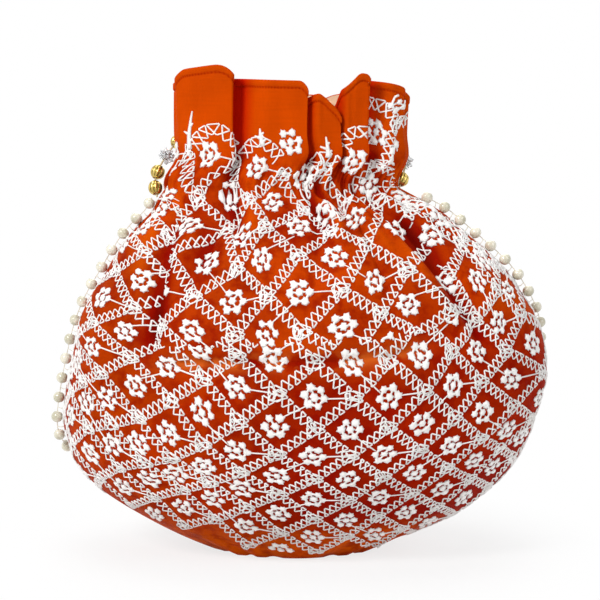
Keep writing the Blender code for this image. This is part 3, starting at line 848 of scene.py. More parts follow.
def make_cloth(name, panel, materials):
    """A panel's cloth as a thin closed shell, with its hem and its share of the base."""
    shares = columns_of(panel)
    heights = rows_of(panel, shares, BODY_ROWS, FRILL_ROWS)
    share = np.broadcast_to(shares, heights.shape)
    normal = cloth_normal(panel, share, heights)
    to_hem = hem_height(panel, share) - heights
    band = ease((HEM_BAND - to_hem) / HEM_BAND_STEP) * ease((to_hem + HEM_EDGE_START) / HEM_EDGE)
    stitches = hill(to_hem, HEM_BAND, STITCH_LINE_WIDTH)
    raised = (HEM_RISE * band - STITCH_DEPTH * stitches)[..., None]
    outer = shut_in(cloth_point(panel, share, heights) + normal * raised)
    edge = ease(1.0 - to_hem / HEM_EDGE)
    inner = outer - normal * mix(CLOTH_THICKNESS, CLOTH_THICKNESS * 0.5, edge)[..., None]
    inner[0] = outer[0] + UP * CLOTH_THICKNESS
    outer, inner = with_base(outer), with_base(inner)
    inner[:BASE_ROWS, :, 2] = CLOTH_THICKNESS
    cloth = shell(name, outer, inner, materials)
    paint_cloth(cloth, panel, share, heights, stitches)
    return cloth


def near_each(values, rows_away, columns_away):
    """The grid moved by every step within reach, one copy for each step."""
    wide = np.pad(values, ((rows_away, rows_away), (columns_away, columns_away)), mode="edge")
    rows, columns = values.shape
    steps = [(i, j) for i in range(2 * rows_away + 1) for j in range(2 * columns_away + 1)]
    return [wide[i : i + rows, j : j + columns] for i, j in steps]


def deepest_near(values):
    """Largest value within a few grid steps of each point, then smoothed."""
    deepest = np.max(near_each(values, 2, 6), axis=0)
    return np.mean(near_each(deepest, 2, 2), axis=0)


def make_lining(name, panel, materials):
    """Lining that is sewn to the cloth at the hem and hangs behind its creases below it."""
    shares = columns_of(panel)
    heights = rows_of(panel, shares, LINING_BODY_ROWS, LINING_FRILL_ROWS) - LINING_BELOW_HEM
    heights[0] = 0.0
    share = np.broadcast_to(shares, heights.shape)
    angle = cloth_angle(panel, share, heights)
    close, normal = cloth_point(panel, share, heights), cloth_normal(panel, share, heights)
    base, ring_normal = smooth_point(angle, heights), smooth_normal(angle, heights)
    inward = deepest_near(np.sum((base - close) * ring_normal, axis=-1)) + LINING_BEHIND
    loose = base - ring_normal * inward[..., None]
    to_hem = hem_height(panel, share) - heights
    hang = ease((to_hem - LINING_SEWN) / LINING_LOOSENS)[..., None]
    across = pleat_of(panel, share)[1][..., None]
    tight = 1.0 - 0.8 * hill(across, 0.96, 0.035)
    outer = mix(close - normal * tight * (CLOTH_THICKNESS + LINING_GAP), loose, hang)
    in_pleat = 4.0 * hang * (1.0 - hang) * hill(across, 0.97, 0.05) * LINING_IN_PLEAT
    outer = outer - unit(np.cross(UP, ring_normal)) * in_pleat
    outer[0] = base[0] - ring_normal[0] * LINING_BEHIND
    outer = shut_in(outer)
    inner = outer - mix(normal * tight, ring_normal, hang) * LINING_THICKNESS
    outer, inner = with_base(outer), with_base(inner)
    floor = CLOTH_THICKNESS + LINING_OVER_BASE
    outer[..., 2] = np.maximum(outer[..., 2], floor)
    inner[..., 2] = np.maximum(inner[..., 2], floor + LINING_THICKNESS)
    return shell(name, outer, inner, materials)


def at_length(points, lengths, length):
    """Point and direction at a length along a line of points."""
    index = int(np.clip(np.searchsorted(lengths, length) - 1, 0, len(points) - 2))
    t = (length - lengths[index]) / (lengths[index + 1] - lengths[index])
    step = points[index + 1] - points[index]
    return mix(points[index], points[index + 1], t), step / np.linalg.norm(step)


def smooth_route(knots, point_count):
    """Evenly spaced points on a smooth curve that passes through the knots."""
    knots = np.array(knots)
    ends = np.concatenate([[2 * knots[0] - knots[1]], knots, [2 * knots[-1] - knots[-2]]])
    t = (np.arange(STEPS_BETWEEN_KNOTS) / STEPS_BETWEEN_KNOTS)[:, None]
    fine = []
    for a, b, c, d in zip(ends, ends[1:], ends[2:], ends[3:]):
        bend = (2 * a - 5 * b + 4 * c - d) * t**2 + (3 * b - a - 3 * c + d) * t**3
        fine.append((2 * b + (c - a) * t + bend) / 2)
    fine = np.concatenate(fine + [knots[-1:]])
    lengths = lengths_along(fine)
    spacing = lengths[-1] / (point_count - 1)
    return np.array([at_length(fine, lengths, spacing * i)[0] for i in range(point_count)])


def frames_along(points):
    """Two directions across a line at each of its points, turning as little as they can."""
    tangent = unit(np.gradient(points, axis=0))
    side = np.cross(tangent[0], UP)
    if np.linalg.norm(side) < 0.1:
        side = np.cross(tangent[0], (0.0, 1.0, 0.0))
    sides = []
    for direction in tangent:
        side = side - direction * np.dot(side, direction)
        side = side / np.linalg.norm(side)
        sides.append(side)
    sides = np.array(sides)
    return sides, np.cross(tangent, sides)


def full_turn(sides):
    return np.arange(sides) * 2 * np.pi / sides


def around(side, up, turn):
    """Directions that turn from one side of a line towards the other."""
    return side * np.cos(turn)[..., None] + up * np.sin(turn)[..., None]


def tube(points, radius, sides):
    """Points and faces of a round tube with closed ends."""
    across, up = frames_along(points)
    made = points[:, None] + around(across[:, None], up[:, None], full_turn(sides)) * radius
    last = (len(points) - 1) * sides
    caps = [list(range(sides))[::-1], list(range(last, last + sides))]
    return made.reshape(-1, 3), ring_faces(len(points), sides) + caps


def turned(points, centre, direction, spin=0.0):
    """Points round the Z axis, spun about it, laid along a direction and moved to a centre."""
    quarter = Vector(direction).to_track_quat("Z", "Y").to_matrix()
    cos, sin = np.cos(spin), np.sin(spin)
    about = np.array([[cos, -sin, 0.0], [sin, cos, 0.0], [0.0, 0.0, 1.0]])
    return points @ about.T @ np.array(quarter).T + centre


def round_points(radius, turn, level):
    """Points at a radius from the Z axis, a turn round it and a level along it."""
    spread = np.broadcast_arrays(radius * np.cos(turn), radius * np.sin(turn), level)
    return np.stack(spread, -1).reshape(-1, 3)


class Parts:
    """Gathers the points and faces of many small closed shapes into one mesh."""

    def __init__(self):
        self.points, self.faces, self.slots, self.count = [], [], [], 0

    def add(self, points, faces, slot=0):
        self.points.append(np.asarray(points, float).reshape(-1, 3))
        self.faces += [[i + self.count for i in face] for face in faces]
        self.slots += list(np.broadcast_to(slot, len(faces)))
        self.count += len(self.points[-1])

    def build(self, name, materials, smooth=True):
        points = np.concatenate(self.points)
        return add_mesh(name, points, self.faces, materials, smooth, self.slots)


def ball(radius, rings=12, sides=20):
    """Points and faces of a round ball about the origin."""
    polar = np.linspace(0.0, np.pi, rings + 1)[1:-1, None]
    ring = round_points(np.sin(polar), full_turn(sides), np.cos(polar))
    top = len(ring)
    last = top - sides
    faces = ring_faces(rings - 1, sides, flip=True)
    faces += [[top, i, (i + 1) % sides] for i in range(sides)]
    faces += [[top + 1, last + (i + 1) % sides, last + i] for i in range(sides)]
    return np.concatenate([ring, [UP, -UP]]) * radius, faces


def make_drawstring(material):
    """Two-ply cord in the channel: two strands twisted round one another."""
    turn = full_turn(DRAWSTRING_POINTS)
    x = eased_through(LEAN, 1.0) + (NECK_WIDTH / 2 - DRAWSTRING_INSET) * np.sin(turn)
    y = -(NECK_DEPTH / 2 - DRAWSTRING_INSET) * np.cos(turn)
    centre = np.stack([x, y, np.full_like(turn, NECK_HEIGHT)], -1)
    out = np.cross(unit(np.roll(centre, -1, axis=0) - np.roll(centre, 1, axis=0)), UP)
    strand_radius = DRAWSTRING_DIAMETER / 4
    circle = around(out[:, None], UP, full_turn(DRAWSTRING_SIDES)) * strand_radius * 1.1
    faces = ring_faces(len(turn), DRAWSTRING_SIDES, closed=True)
    parts = Parts()
    for strand in (0.0, np.pi):
        offset = around(out, UP, turn * DRAWSTRING_TURNS + strand)
        parts.add((centre + offset * strand_radius)[:, None] + circle, faces)
    return parts.build("drawstring_cord", [material])


def make_pearls(name, share, materials):
    """Pearls sewn along one side seam, with their thread and the stitches that hold it."""
    off_cloth = PEARL_DIAMETER / 2 + PEARL_CLEARANCE
    top = NECK_HEIGHT - PEARLS_BELOW_NECK
    heights = np.linspace(top, PEARLS_ABOVE_BASE, PEARL_ROUTE_POINTS)
    shares = np.full_like(heights, share)
    normal = smooth_normal(cloth_angle(FRONT, shares, heights), heights)
    route = cloth_point(FRONT, shares, heights) + normal * off_cloth
    lengths = lengths_along(route)
    parts = Parts()
    pearls = int((lengths[-1] - PEARL_DIAMETER) / PEARL_PITCH) + 1
    for index in range(pearls):
        centre, along = at_length(route, lengths, PEARL_DIAMETER / 2 + index * PEARL_PITCH)
        points, faces = ball(PEARL_DIAMETER / 2 * rng.uniform(0.95, 1.0))
        points = points * (1.0, 1.0, rng.uniform(0.96, 1.0))
        parts.add(turned(points, centre, along), faces, 0)
    end = PEARL_DIAMETER + (pearls - 1) * PEARL_PITCH
    along_thread = np.linspace(0.0, end, PEARL_THREAD_POINTS)
    thread_line = [at_length(route, lengths, length)[0] for length in along_thread]
    parts.add(*tube(np.array(thread_line), PEARL_THREAD_RADIUS, PEARL_THREAD_SIDES), 1)
    for index in range(pearls + 1):
        length = index * PEARL_PITCH - PEARL_STITCH_BEFORE
        length = np.clip(length, PEARL_THREAD_END, end - PEARL_THREAD_END)
        centre, along = at_length(route, lengths, length)
        place = int(np.clip(np.searchsorted(lengths, length), 0, len(normal) - 1))
        foot = centre - normal[place] * (off_cloth + PEARL_STITCH_SINK)
        bow = [mix(foot, centre, t) + along * PEARL_STITCH_BOW * np.sin(3 * t) for t in (0, 0.5, 1)]
        parts.add(*tube(np.array(bow), PEARL_STITCH_RADIUS, PEARL_THREAD_SIDES), 1)
    return parts.build(name, materials)


def bead_kinds(length):
    """Order of the beads on the handle: two gold, one crystal cluster, and one gold to end on."""
    group = 2 * BEAD_SIZES["gold"] + BEAD_SIZES["crystal"] + 3 * LEAST_BEAD_GAP
    groups = int((length - 2 * HANDLE_MARGIN - BEAD_SIZES["gold"]) / group)
    return ["gold", "gold", "crystal"] * groups + ["gold"]


def bead_seat(route, lengths, start, size):
    """Centre and direction of a bead whose bore lets the bent cord through evenly."""
    first = at_length(route, lengths, start)[0]
    middle = at_length(route, lengths, start + size / 2)[0]
    last = at_length(route, lengths, start + size)[0]
    return (first + 2.0 * middle + last) / 4.0, unit(last - first)


def beads_along(route):
    """Kind, centre and direction of each bead, evenly spaced along the cord."""
    lengths = lengths_along(route)
    kinds = bead_kinds(lengths[-1])
    room = lengths[-1] - 2 * HANDLE_MARGIN - sum(BEAD_SIZES[kind] for kind in kinds)
    start = HANDLE_MARGIN
    for kind in kinds:
        yield kind, *bead_seat(route, lengths, start, BEAD_SIZES[kind])
        start += BEAD_SIZES[kind] + room / (len(kinds) - 1)


def gold_bead_shape():
    """Round metal bead: shallow flutes between two rims, and a bore through it."""
    outside, bore = BEAD_SIZES["gold"] / 2, BEAD_BORE / 2
    first = np.arcsin(bore / outside)
    polar = np.linspace(first, np.pi - first, GOLD_ROWS)[:, None]
    turn = full_turn(GOLD_SIDES)
    band = np.maximum(np.sin((polar - first) / (np.pi - 2 * first) * np.pi), 0.0) ** 0.7
    rim = hill(np.minimum(polar, np.pi - polar), first, RIM_WIDTH)
    wave = np.cos(FLUTES * turn + FLUTE_SLANT * polar)
    radius = outside - RIM_RISE * (1.0 - rim) - FLUTE_DEPTH * band * (0.5 + 0.5 * wave) ** 1.5
    outer = round_points(radius * np.sin(polar), turn, outside * np.cos(polar))
    levels = outside * np.cos(first) * np.array([[-BORE_DEPTH], [BORE_DEPTH]])
    points = np.concatenate([outer, round_points(bore * BORE_SHARE, turn, levels)])
    # Faces on the flutes' floors take a darker copy of the gilt: painted shade in the flutes
    shaded_flute = (wave > FLUTE_FLOOR) & (band > 0.5)
    slots = np.concatenate([shaded_flute.ravel(), np.zeros(2 * GOLD_SIDES)]).astype(int)
    return points, ring_faces(GOLD_ROWS + 2, GOLD_SIDES, closed=True, flip=True), slots


def spike(axis):
    """One pointed crystal of a cluster, along an axis from the cluster's middle."""
    side = unit(np.cross(axis, UP))
    reach = BEAD_SIZES["crystal"] / 2 * rng.uniform(0.82, 1.0)
    width = SPIKE_WIDTH * rng.uniform(0.85, 1.15)
    ring = around(side, np.cross(axis, side), full_turn(SPIKE_SIDES) + rng.uniform(0.0, 1.0))
    low = axis * SPIKE_FOOT + ring * width * 0.7
    high = axis * reach * 0.80 + ring * width
    points = np.concatenate([low, high, [axis * SPIKE_ROOT, axis * reach]])
    faces = []
    for i in range(SPIKE_SIDES):
        j = (i + 1) % SPIKE_SIDES
        over_i, over_j, root = SPIKE_SIDES + i, SPIKE_SIDES + j, 2 * SPIKE_SIDES
        faces += [[i, j, over_j, over_i], [over_i, over_j, root + 1], [j, i, root]]
    return points, faces


def crystal_shape():
    """Cluster of pointed crystals round a small core, clear of the bore."""
    golden = np.pi * (3.0 - 5.0**0.5)
    parts = Parts()
    for index in range(SPIKES):
        z = 1.0 - 2.0 * (index + 0.5) / SPIKES
        if abs(z) < BORE_POLE:
            flat = (1.0 - z * z) ** 0.5
            turn = golden * index
            parts.add(*spike(np.array([flat * np.cos(turn), flat * np.sin(turn), z])))
    parts.add(*ball(CRYSTAL_CORE_RADIUS, 8, 12))
    return np.concatenate(parts.points), parts.faces


def make_handle_cord(route, material):
    curve = bpy.data.curves.new("handle_thread", "CURVE")
    curve.dimensions = "3D"
    curve.bevel_depth = HANDLE_CORD_DIAMETER / 2
    curve.bevel_resolution = 3
    curve.use_fill_caps = True
    spline = curve.splines.new("POLY")
    spline.points.add(len(route) - 1)
    spline.points.foreach_set("co", np.c_[route, np.ones(len(route))].ravel())
    curve.materials.append(material)
    return stand_for(link("handle_thread", curve), "handle_cord", "handle_cord")


def make_handle(materials):
    """The handle's cord and its beads. Gold beads side by side are one piece."""
    route = smooth_route(HANDLE_ROUTE, HANDLE_CORD_POINTS)
    cord = make_handle_cord(route, materials["handle_cord"])
    # The gold beads' second material is the painted shade of their flutes
    looks = {"gold": [materials["gold"], materials["gold_flute_shade"]], "crystal": [materials["crystal"]]}
    gold_shape = gold_bead_shape()
    beads, pieces = {"gold": 0, "crystal": 0}, {"gold": 0, "crystal": 0}
    for kind, group in groupby(beads_along(route), key=lambda bead: bead[0]):
        piece_name, node_name, slot = BEAD_NAMES[kind]
        parts, nodes = Parts(), []
        for _, centre, direction in group:
            spin = rng.uniform(0.0, 6.0)
            points, *rest = gold_shape if kind == "gold" else crystal_shape()
            parts.add(turned(points, centre, direction, spin), *rest)
            beads[kind] += 1
            nodes.append(f"{node_name}_{beads[kind]:02d}")
        pieces[kind] += 1
        piece = parts.build(f"{piece_name}_{pieces[kind]:02d}", looks[kind], kind == "gold")
        stand_for(piece, slot, *nodes)
    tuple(HANDLE_ROUTE[0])


def seen_at(points):
    """Where points show in the photograph, in pixels."""
    back = np.array([0.0, -np.cos(CAMERA_RISE), np.sin(CAMERA_RISE)])
    above = np.array([0.0, np.sin(CAMERA_RISE), np.cos(CAMERA_RISE)])
    offset = points - (np.array(CAMERA_TARGET) + back * CAMERA_DISTANCE)
    scale = PHOTO_SIZE / VIEW_WIDTH * CAMERA_DISTANCE / -(offset @ back)
    middle = PHOTO_SIZE / 2
    return np.stack([middle + offset[..., 0] * scale, middle - (offset @ above) * scale], -1)


class Chart:
    """A panel laid flat: metres round the bag from its middle line, and metres up that line."""

    def __init__(self, panel):
        self.panel = panel
        self.middle = 0.0 if panel is FRONT else np.pi
        self.heights = np.linspace(0.0, HEM_TOP + CHART_PAST_HEM, CHART_ROWS)
        line = smooth_point(np.full_like(self.heights, self.middle), self.heights)
        self.up = lengths_along(line)
        shares = np.linspace(*CHART_SHARES)
        self.shares, tall = np.meshgrid(shares, self.heights)
        self.angles = cloth_angle(panel, self.shares, tall)
        grid = smooth_point(self.angles, tall)
        steps = np.linalg.norm(np.diff(grid, axis=1), axis=-1)
        self.along = np.concatenate([np.zeros((len(tall), 1)), np.cumsum(steps, axis=1)], axis=1)
        for row, angle in zip(self.along, self.angles):
            row -= np.interp(self.middle, angle, row)
        self.across = np.linspace(*CHART_ACROSS)
        self.table = np.array([np.interp(self.across, row, shares) for row in self.along])

    def share_at(self, across, height):
        """Share of the cloth at a distance round the bag, read from the table."""
        row = np.clip(height / self.heights[1], 0.0, len(self.heights) - 1.001)
        spacing = self.across[1] - self.across[0]
        column = np.clip((across - self.across[0]) / spacing, 0.0, len(self.across) - 1.001)
        i, j = row.astype(int), column.astype(int)
        low = mix(self.table[i, j], self.table[i, j + 1], column - j)
        high = mix(self.table[i + 1, j], self.table[i + 1, j + 1], column - j)
        return mix(low, high, row - i)

    def at(self, flat):
        """Share of the cloth and height of flat places."""
        height = np.interp(flat[..., 1], self.up, self.heights)
        return self.share_at(flat[..., 0], height), height

    def smooth(self, flat):
        share, height = self.at(flat)
        return smooth_point(cloth_angle(self.panel, share, height), height)

    def frames(self, flat):
        """For each flat place, the matrix that turns true metres into flat metres there."""
        step = 0.0005
        across, up = np.array([step, 0.0]), np.array([0.0, step])
        by_across = (self.smooth(flat + across) - self.smooth(flat - across)) / (2 * step)
        by_up = (self.smooth(flat + up) - self.smooth(flat - up)) / (2 * step)
        right = unit(by_across)
        above = np.cross(unit(np.cross(by_across, by_up)), right)
        a = np.maximum(np.linalg.norm(by_across, axis=-1), 0.6)
        b = np.sum(by_up * right, axis=-1)
        d = np.maximum(np.sum(by_up * above, axis=-1), 0.6)
        zero = np.zeros_like(a)
        return np.stack([np.stack([1 / a, -b / (a * d)], -1), np.stack([zero, 1 / d], -1)], -2)

    def nearest_flat(self, places):
        """Flat place of the front whose point on the cloth shows nearest each photo place."""
        tall = np.broadcast_to(self.heights[:, None], self.shares.shape)
        points = cloth_point(self.panel, self.shares, tall)
        facing = smooth_normal(self.angles, tall)[..., 1] < -0.05
        facing &= (self.shares > 0.0) & (self.shares < 1.0)
        seen = seen_at(points[facing])
        flat = np.stack([self.along, np.broadcast_to(self.up[:, None], tall.shape)], -1)[facing]
        return flat[[np.argmin(np.sum((seen - place) ** 2, axis=-1)) for place in places]]


def lattice_fit(cells, flat, reach, looseness):
    """Function from (column, row) to a flat place: even steps, and a smooth correction."""
    cells = np.array(cells, float)

    def with_one(places):
        return np.concatenate([places, np.ones((len(places), 1))], axis=1)

    def pull(places):
        gap = places[:, None] - cells[None]
        return np.exp(-np.sum(gap**2, axis=-1) / (2 * reach**2))

    steps = np.linalg.lstsq(with_one(cells), flat, rcond=None)[0]
    kernel = pull(cells) + looseness * np.eye(len(cells))
    weight = np.linalg.solve(kernel, flat - with_one(cells) @ steps)

    def fitted(wanted):
        wanted = np.array(wanted, float)
        return with_one(wanted) @ steps + pull(wanted) @ weight

    return fitted


def even_lattice(chart):
    """Evenly spaced lattice, whose first row is just above the neck."""
    top = np.interp(NECK_HEIGHT, chart.heights, chart.up) + FIRST_ROW_ABOVE_NECK

    def placed(cells):
        cells = np.array(cells, float)
        return np.stack([cells[:, 0] * COLUMN_STEP, top - (cells[:, 1] - FIRST_ROW) * ROW_STEP], -1)

    return placed


def in_zone(points):
    """True where a point shows inside the cloth above the tuck."""
    seen = seen_at(points)
    x, y = seen[..., 0], seen[..., 1]
    inside = np.zeros(x.shape, bool)
    for (x0, y0), (x1, y1) in zip(UPPER_ZONE, UPPER_ZONE[1:] + UPPER_ZONE[:1]):
        if y0 != y1:
            crossing = x0 + (y - y0) * (x1 - x0) / (y1 - y0)
            inside ^= ((y0 > y) != (y1 > y)) & (x < crossing)
    return inside


def rounded(corners, reach):
    """The line with each of its corners cut by a short reach."""
    corners = np.array(corners)
    before = unit(corners[:-2] - corners[1:-1])
    after = unit(corners[2:] - corners[1:-1])
    cut = np.stack([corners[1:-1] + before * reach, corners[1:-1] + after * reach], 1)
    return np.concatenate([corners[:1], cut.reshape(-1, 2), corners[-1:]])


def runs(kept):
    """Start and end of each run of two or more kept points."""
    edges = np.flatnonzero(np.diff(np.concatenate([[0], kept.astype(int), [0]])))
    return [(a, b) for a, b in zip(edges[::2], edges[1::2]) if b - a > 1]


def slices(pieces):
    """For each piece, where its points lie once all are put in a row."""
    ends = np.cumsum([len(piece) for piece in pieces])
    return [slice(end - len(piece), end) for piece, end in zip(pieces, ends)]


def thread_tube(points, widths, lift):
    """Rings of four points round a thread, as flat places and heights, and their faces."""
    along = unit(np.gradient(points, axis=0))
    side = np.stack([-along[:, 1], along[:, 0]], -1) * widths[:, None] / 2
    tall = THREAD_HEIGHT * np.sqrt(widths / THREAD_WIDTH)
    rings = np.zeros((len(points), 4, 3))
    for k, (aside, share) in enumerate(THREAD_SECTION):
        rings[:, k, :2] = points + side * aside
        rings[:, k, 2] = tall * share + (lift if share > 0 else 0.0)
    last = 4 * len(points) - 4
    caps = [[0, 1, 2, 3], [last + 3, last + 2, last + 1, last]]
    return rings, ring_faces(len(points), 4, flip=True) + caps


def dome_points(centre, edge, height):
    """Edge, inner ring, top and underside of a dome, as flat places and heights."""
    ring = edge[::2] * DOME_RING_REACH
    lifts = [DOME_EDGE_HEIGHT] * len(edge) + [DOME_RING_HEIGHT] * len(ring) + [1.0, DOME_UNDERSIDE]
    flat = np.concatenate([edge, ring, [[0.0, 0.0], [0.0, 0.0]]]) + centre
    return np.concatenate([flat, np.array(lifts)[:, None] * height], axis=1)


def dome_faces(count):
    half = count // 2
    faces = []
    for k in range(half):
        a, b, c = 2 * k, 2 * k + 1, (2 * k + 2) % count
        p, q = count + k, count + (k + 1) % half
        faces += [(a, b, p), (b, q, p), (b, c, q), (p, q, count + half)]
        faces += [(b, a, count + half + 1), (c, b, count + half + 1)]
    return faces


class Embroidery:
    """Collects threads and domes on a chart, and puts them on the cloth as one mesh.

    It covers the upper part of the panel, the lower one, or both. On the front they meet at
    the tuck.
    """

    def __init__(self, chart, upper, lower, step):
        self.chart, self.upper, self.lower, self.step = chart, upper, lower, step
        self.threads, self.domes = [], []

    def thread(self, points, width=THREAD_WIDTH, taper=1.0, lift=0.0):
        """Thread through flat places, with points added where they lie far apart."""
        points = np.asarray(points, float)
        gaps = np.linalg.norm(np.diff(points, axis=0), axis=1)
        filled = [points[:1]]
        for a, b, gap in zip(points, points[1:], gaps):
            count = max(1, int(np.ceil(gap / self.step)))
            filled.append(mix(a, b, np.arange(1, count + 1)[:, None] / count))
        filled = np.concatenate(filled)
        self.threads.append((filled, width * np.linspace(1.0, taper, len(filled)), lift))

    def dome(self, centre, frame, radius, height, points, raggedness):
        """Small mound of stitches with a ragged edge."""
        turn = rng.uniform(0.0, 2 * np.pi) + np.arange(2 * points) * np.pi / points
        out = np.where(np.arange(2 * points) % 2, 1.0 - raggedness, 1.0)
        out = out * rng.uniform(0.86, 1.14, 2 * points) * radius
        edge = np.stack([out * np.cos(turn), out * np.sin(turn)], -1) @ frame.T
        self.domes.append((np.array(centre), edge, height))

    def flower(self, centre, frame, linked):
        """Six ragged petals round a seventh, most of them joined by thread."""
        turns = rng.normal(0.0, 0.07) + np.arange(PETALS) * 2 * np.pi / PETALS
        ring = FLOWER_RADIUS * rng.uniform(0.94, 1.05, PETALS)
        petals = np.stack([ring * np.cos(turns), ring * np.sin(turns)], -1) @ frame.T + centre
        middle = centre + frame @ rng.normal(0.0, 0.0002, 2)
        for place in (*petals, middle):
            size = PETAL_RADIUS * rng.uniform(0.90, 1.08)
            self.dome(place, frame, size, PETAL_HEIGHT * rng.uniform(0.9, 1.15), *PETAL_DOME)
        for petal, following in zip(petals, np.roll(petals, -1, axis=0)):
            if rng.uniform() < JOINED_PETALS:
                self.thread([petal, following], THREAD_WIDTH * JOIN_WIDTH)
        for petal in (petals[linked], petals[(linked + 2 + int(rng.integers(0, 3))) % PETALS]):
            self.thread([middle, petal], THREAD_WIDTH * SPOKE_WIDTH)
        return petals

    def knot(self, centre, frame):
        """Flat tangle of small loops where the bands meet."""
        radius = KNOT_MIDDLE_RADIUS * rng.uniform(0.7, 1.2)
        self.dome(centre, frame, radius, KNOT_MIDDLE_HEIGHT, *KNOT_DOME)
        for k in range(KNOT_LOOPS):
            turn = 2 * np.pi * k / KNOT_LOOPS + rng.normal(0.0, 0.25)
            away = KNOT_SPREAD * rng.uniform(0.75, 1.2) * np.array([np.cos(turn), np.sin(turn)])
            circle = rng.uniform(0.0, 6.0) + np.linspace(0.0, 2 * np.pi, 7)
            size = KNOT_RADIUS * rng.uniform(0.8, 1.25) * (1.0 + 0.35 * np.cos(2 * circle + turn))
            loop = away + np.stack([size * np.cos(circle), size * np.sin(circle)], -1)
            self.thread(centre + loop @ frame.T, lift=0.0002 * rng.uniform(0.0, 1.5))

    def band(self, path, frame, hand, margin=KNOT_RADIUS):
        """Loop stitches along a path, each a step on, most of a step back, and across.

        The stitches close on one hand of the path into a row of small triangles.
        """
        path = np.asarray(path, float)
        true = (path - path[0]) @ np.linalg.inv(frame).T
        lengths = lengths_along(true)
        room = lengths[-1] - 2 * margin
        if room < STITCH_PITCH * 0.8:
            return
        stitches = max(1, round(room / STITCH_PITCH - STITCH_OVERLAP))
        pitch = room / (stitches + STITCH_OVERLAP)
        places = [(k + along, aside) for k in range(stitches) for along, aside in STITCH]
        corners = []
        for along, aside in places + [(stitches, -1.0)]:
            wobble = rng.normal(0.0, STITCH_WOBBLE, 2)
            length = np.clip(margin + along * pitch + wobble[0], 0.0, lengths[-1])
            point, direction = at_length(true, lengths, length)
            side = hand * np.array([-direction[1], direction[0]])
            corners.append(point + side * (BAND_HALF_WIDTH * aside + wobble[1]))
        self.thread(path[0] + rounded(corners, STITCH_ROUNDING) @ frame.T)

    def thorn(self, foot, tip, frame):
        """Thick stitch that tapers up from a knot of the upper border, with its barbs."""
        self.thread([foot, tip], THREAD_WIDTH * THORN_WIDTH, THORN_TAPER)
        for share, reach in BARBS:
            root = mix(foot, tip, share)
            barb = root + frame @ np.array([reach, BARB_RISE])
            self.thread([root, barb], THREAD_WIDTH * BARB_WIDTH, BARB_TAPER)

    def wanted(self, pieces):
        """Which flat places lie on the embroidered ground, and which in this part of it."""
        share, height = self.chart.at(np.concatenate(pieces))
        panel = self.chart.panel
        top = hem_height(panel, share) - BORDER_BELOW_HEM
        top = top if self.upper else NECK_HEIGHT - GROUND_BELOW_NECK
        ground = (share > 0.001) & (share < 0.999) & (height > BORDER_ABOVE_BASE) & (height < top)
        if self.upper and self.lower:
            return ground, np.ones(len(share), bool)
        return ground, in_zone(cloth_point(panel, share, height)) == self.upper

    def build(self, name, material):
        parts = Parts()
        lines = [points for points, _, _ in self.threads]
        ground, zone = self.wanted(lines)
        for mine, (points, widths, lift) in zip(slices(lines), self.threads):
            near = np.convolve(zone[mine], [1, 1, 1])[1:-1] > 0
            for a, b in runs(ground[mine] & near):
                parts.add(*thread_tube(points[a:b], widths[a:b], lift))
        edges = [centre + edge for centre, edge, _ in self.domes]
        ground, zone = self.wanted(edges)
        for mine, (centre, edge, height) in zip(slices(edges), self.domes):
            if ground[mine].all() and zone[mine].mean() > 0.5:
                parts.add(dome_points(centre, edge, height), dome_faces(len(edge)))
        flat = np.concatenate(parts.points)
        share, height = self.chart.at(flat)
        normal = cloth_normal(self.chart.panel, share, height)
        points = cloth_point(self.chart.panel, share, height) + normal * flat[:, 2:3]
        return add_mesh(name, points, parts.faces, [material])


def highest_knot(panel, column):
    """Row of the highest knot in a column. The front's lattice climbs higher at its right."""
    raised = 2 if panel is FRONT and column == 4 else 0
    return (FIRST_ROW if column % 2 else FIRST_ROW + 1) - raised


def highest_flower(panel, column):
    return highest_knot(panel, column) + (1 if column % 2 else -1)


def lone_flowers(panel):
    """Flowers that stand by themselves above the upper border or hang from the lower one."""
    if panel is FRONT:
        return [(-1, FIRST_ROW - 1), (3, FIRST_ROW - 1), (-5, LAST_ROW), (-1, LAST_ROW)]
    above = [(c, FIRST_ROW - 1) for c in range(-9, 3, 4)]
    return above + [(c, LAST_ROW) for c in range(-7, 7, 4)]


def motif_frames(chart, fitted, cells):
    """For each cell, the matrix from its motif's own metres to flat metres.

    It follows the lattice's slant and spacing there, but its scale stays within MOTIF_SCALE.
    """
    cells = np.array(cells, float)
    column, row = np.array([0.5, 0.0]), np.array([0.0, 0.5])
    across = (fitted(cells + column) - fitted(cells - column)) / COLUMN_STEP
    up = (fitted(cells - row) - fitted(cells + row)) / ROW_STEP
    true = chart.frames(fitted(cells))
    left, scale, right = np.linalg.svd(np.linalg.inv(true) @ np.stack([across, up], -1))
    return true @ (left * np.clip(scale, *MOTIF_SCALE)[:, None, :]) @ right


class Lattice:
    """Where each cell of a panel's lattice lies, the frame of its motif, and if it is on the cloth."""

    def __init__(self, chart, fitted):
        columns = range(-FARTHEST_COLUMN, FARTHEST_COLUMN + 1)
        self.cells = [(c, r) for r in range(FIRST_ROW - 3, LAST_ROW + 1) for c in columns]
        flat = fitted(self.cells)
        share = chart.at(flat)[0]
        self.places = dict(zip(self.cells, flat))
        self.frames = dict(zip(self.cells, motif_frames(chart, fitted, self.cells)))
        self.on_panel = dict(zip(self.cells, (share > -0.01) & (share < 1.01)))


def embroider(work, lattice):
    """Adds the lattice's flowers, knots and bands, and the borders that the work covers."""
    panel = work.chart.panel
    for cell in lattice.cells:
        c, r = cell
        is_flower = (c + r) % 2 == 0
        first = highest_flower(panel, c) if is_flower else highest_knot(panel, c)
        if work.upper and r < first:
            continue
        if is_flower and lattice.on_panel[cell] and r < LAST_ROW:
            add_flower(work, lattice, c, r)
        if not is_flower and lattice.on_panel[cell]:
            work.knot(lattice.places[cell], lattice.frames[cell])
        if not is_flower:
            add_bands(work, lattice, c, r)
    for cell in lone_flowers(panel):
        if lattice.on_panel[cell] and (work.upper if cell[1] < 0 else work.lower):
            work.flower(lattice.places[cell], lattice.frames[cell], 4)


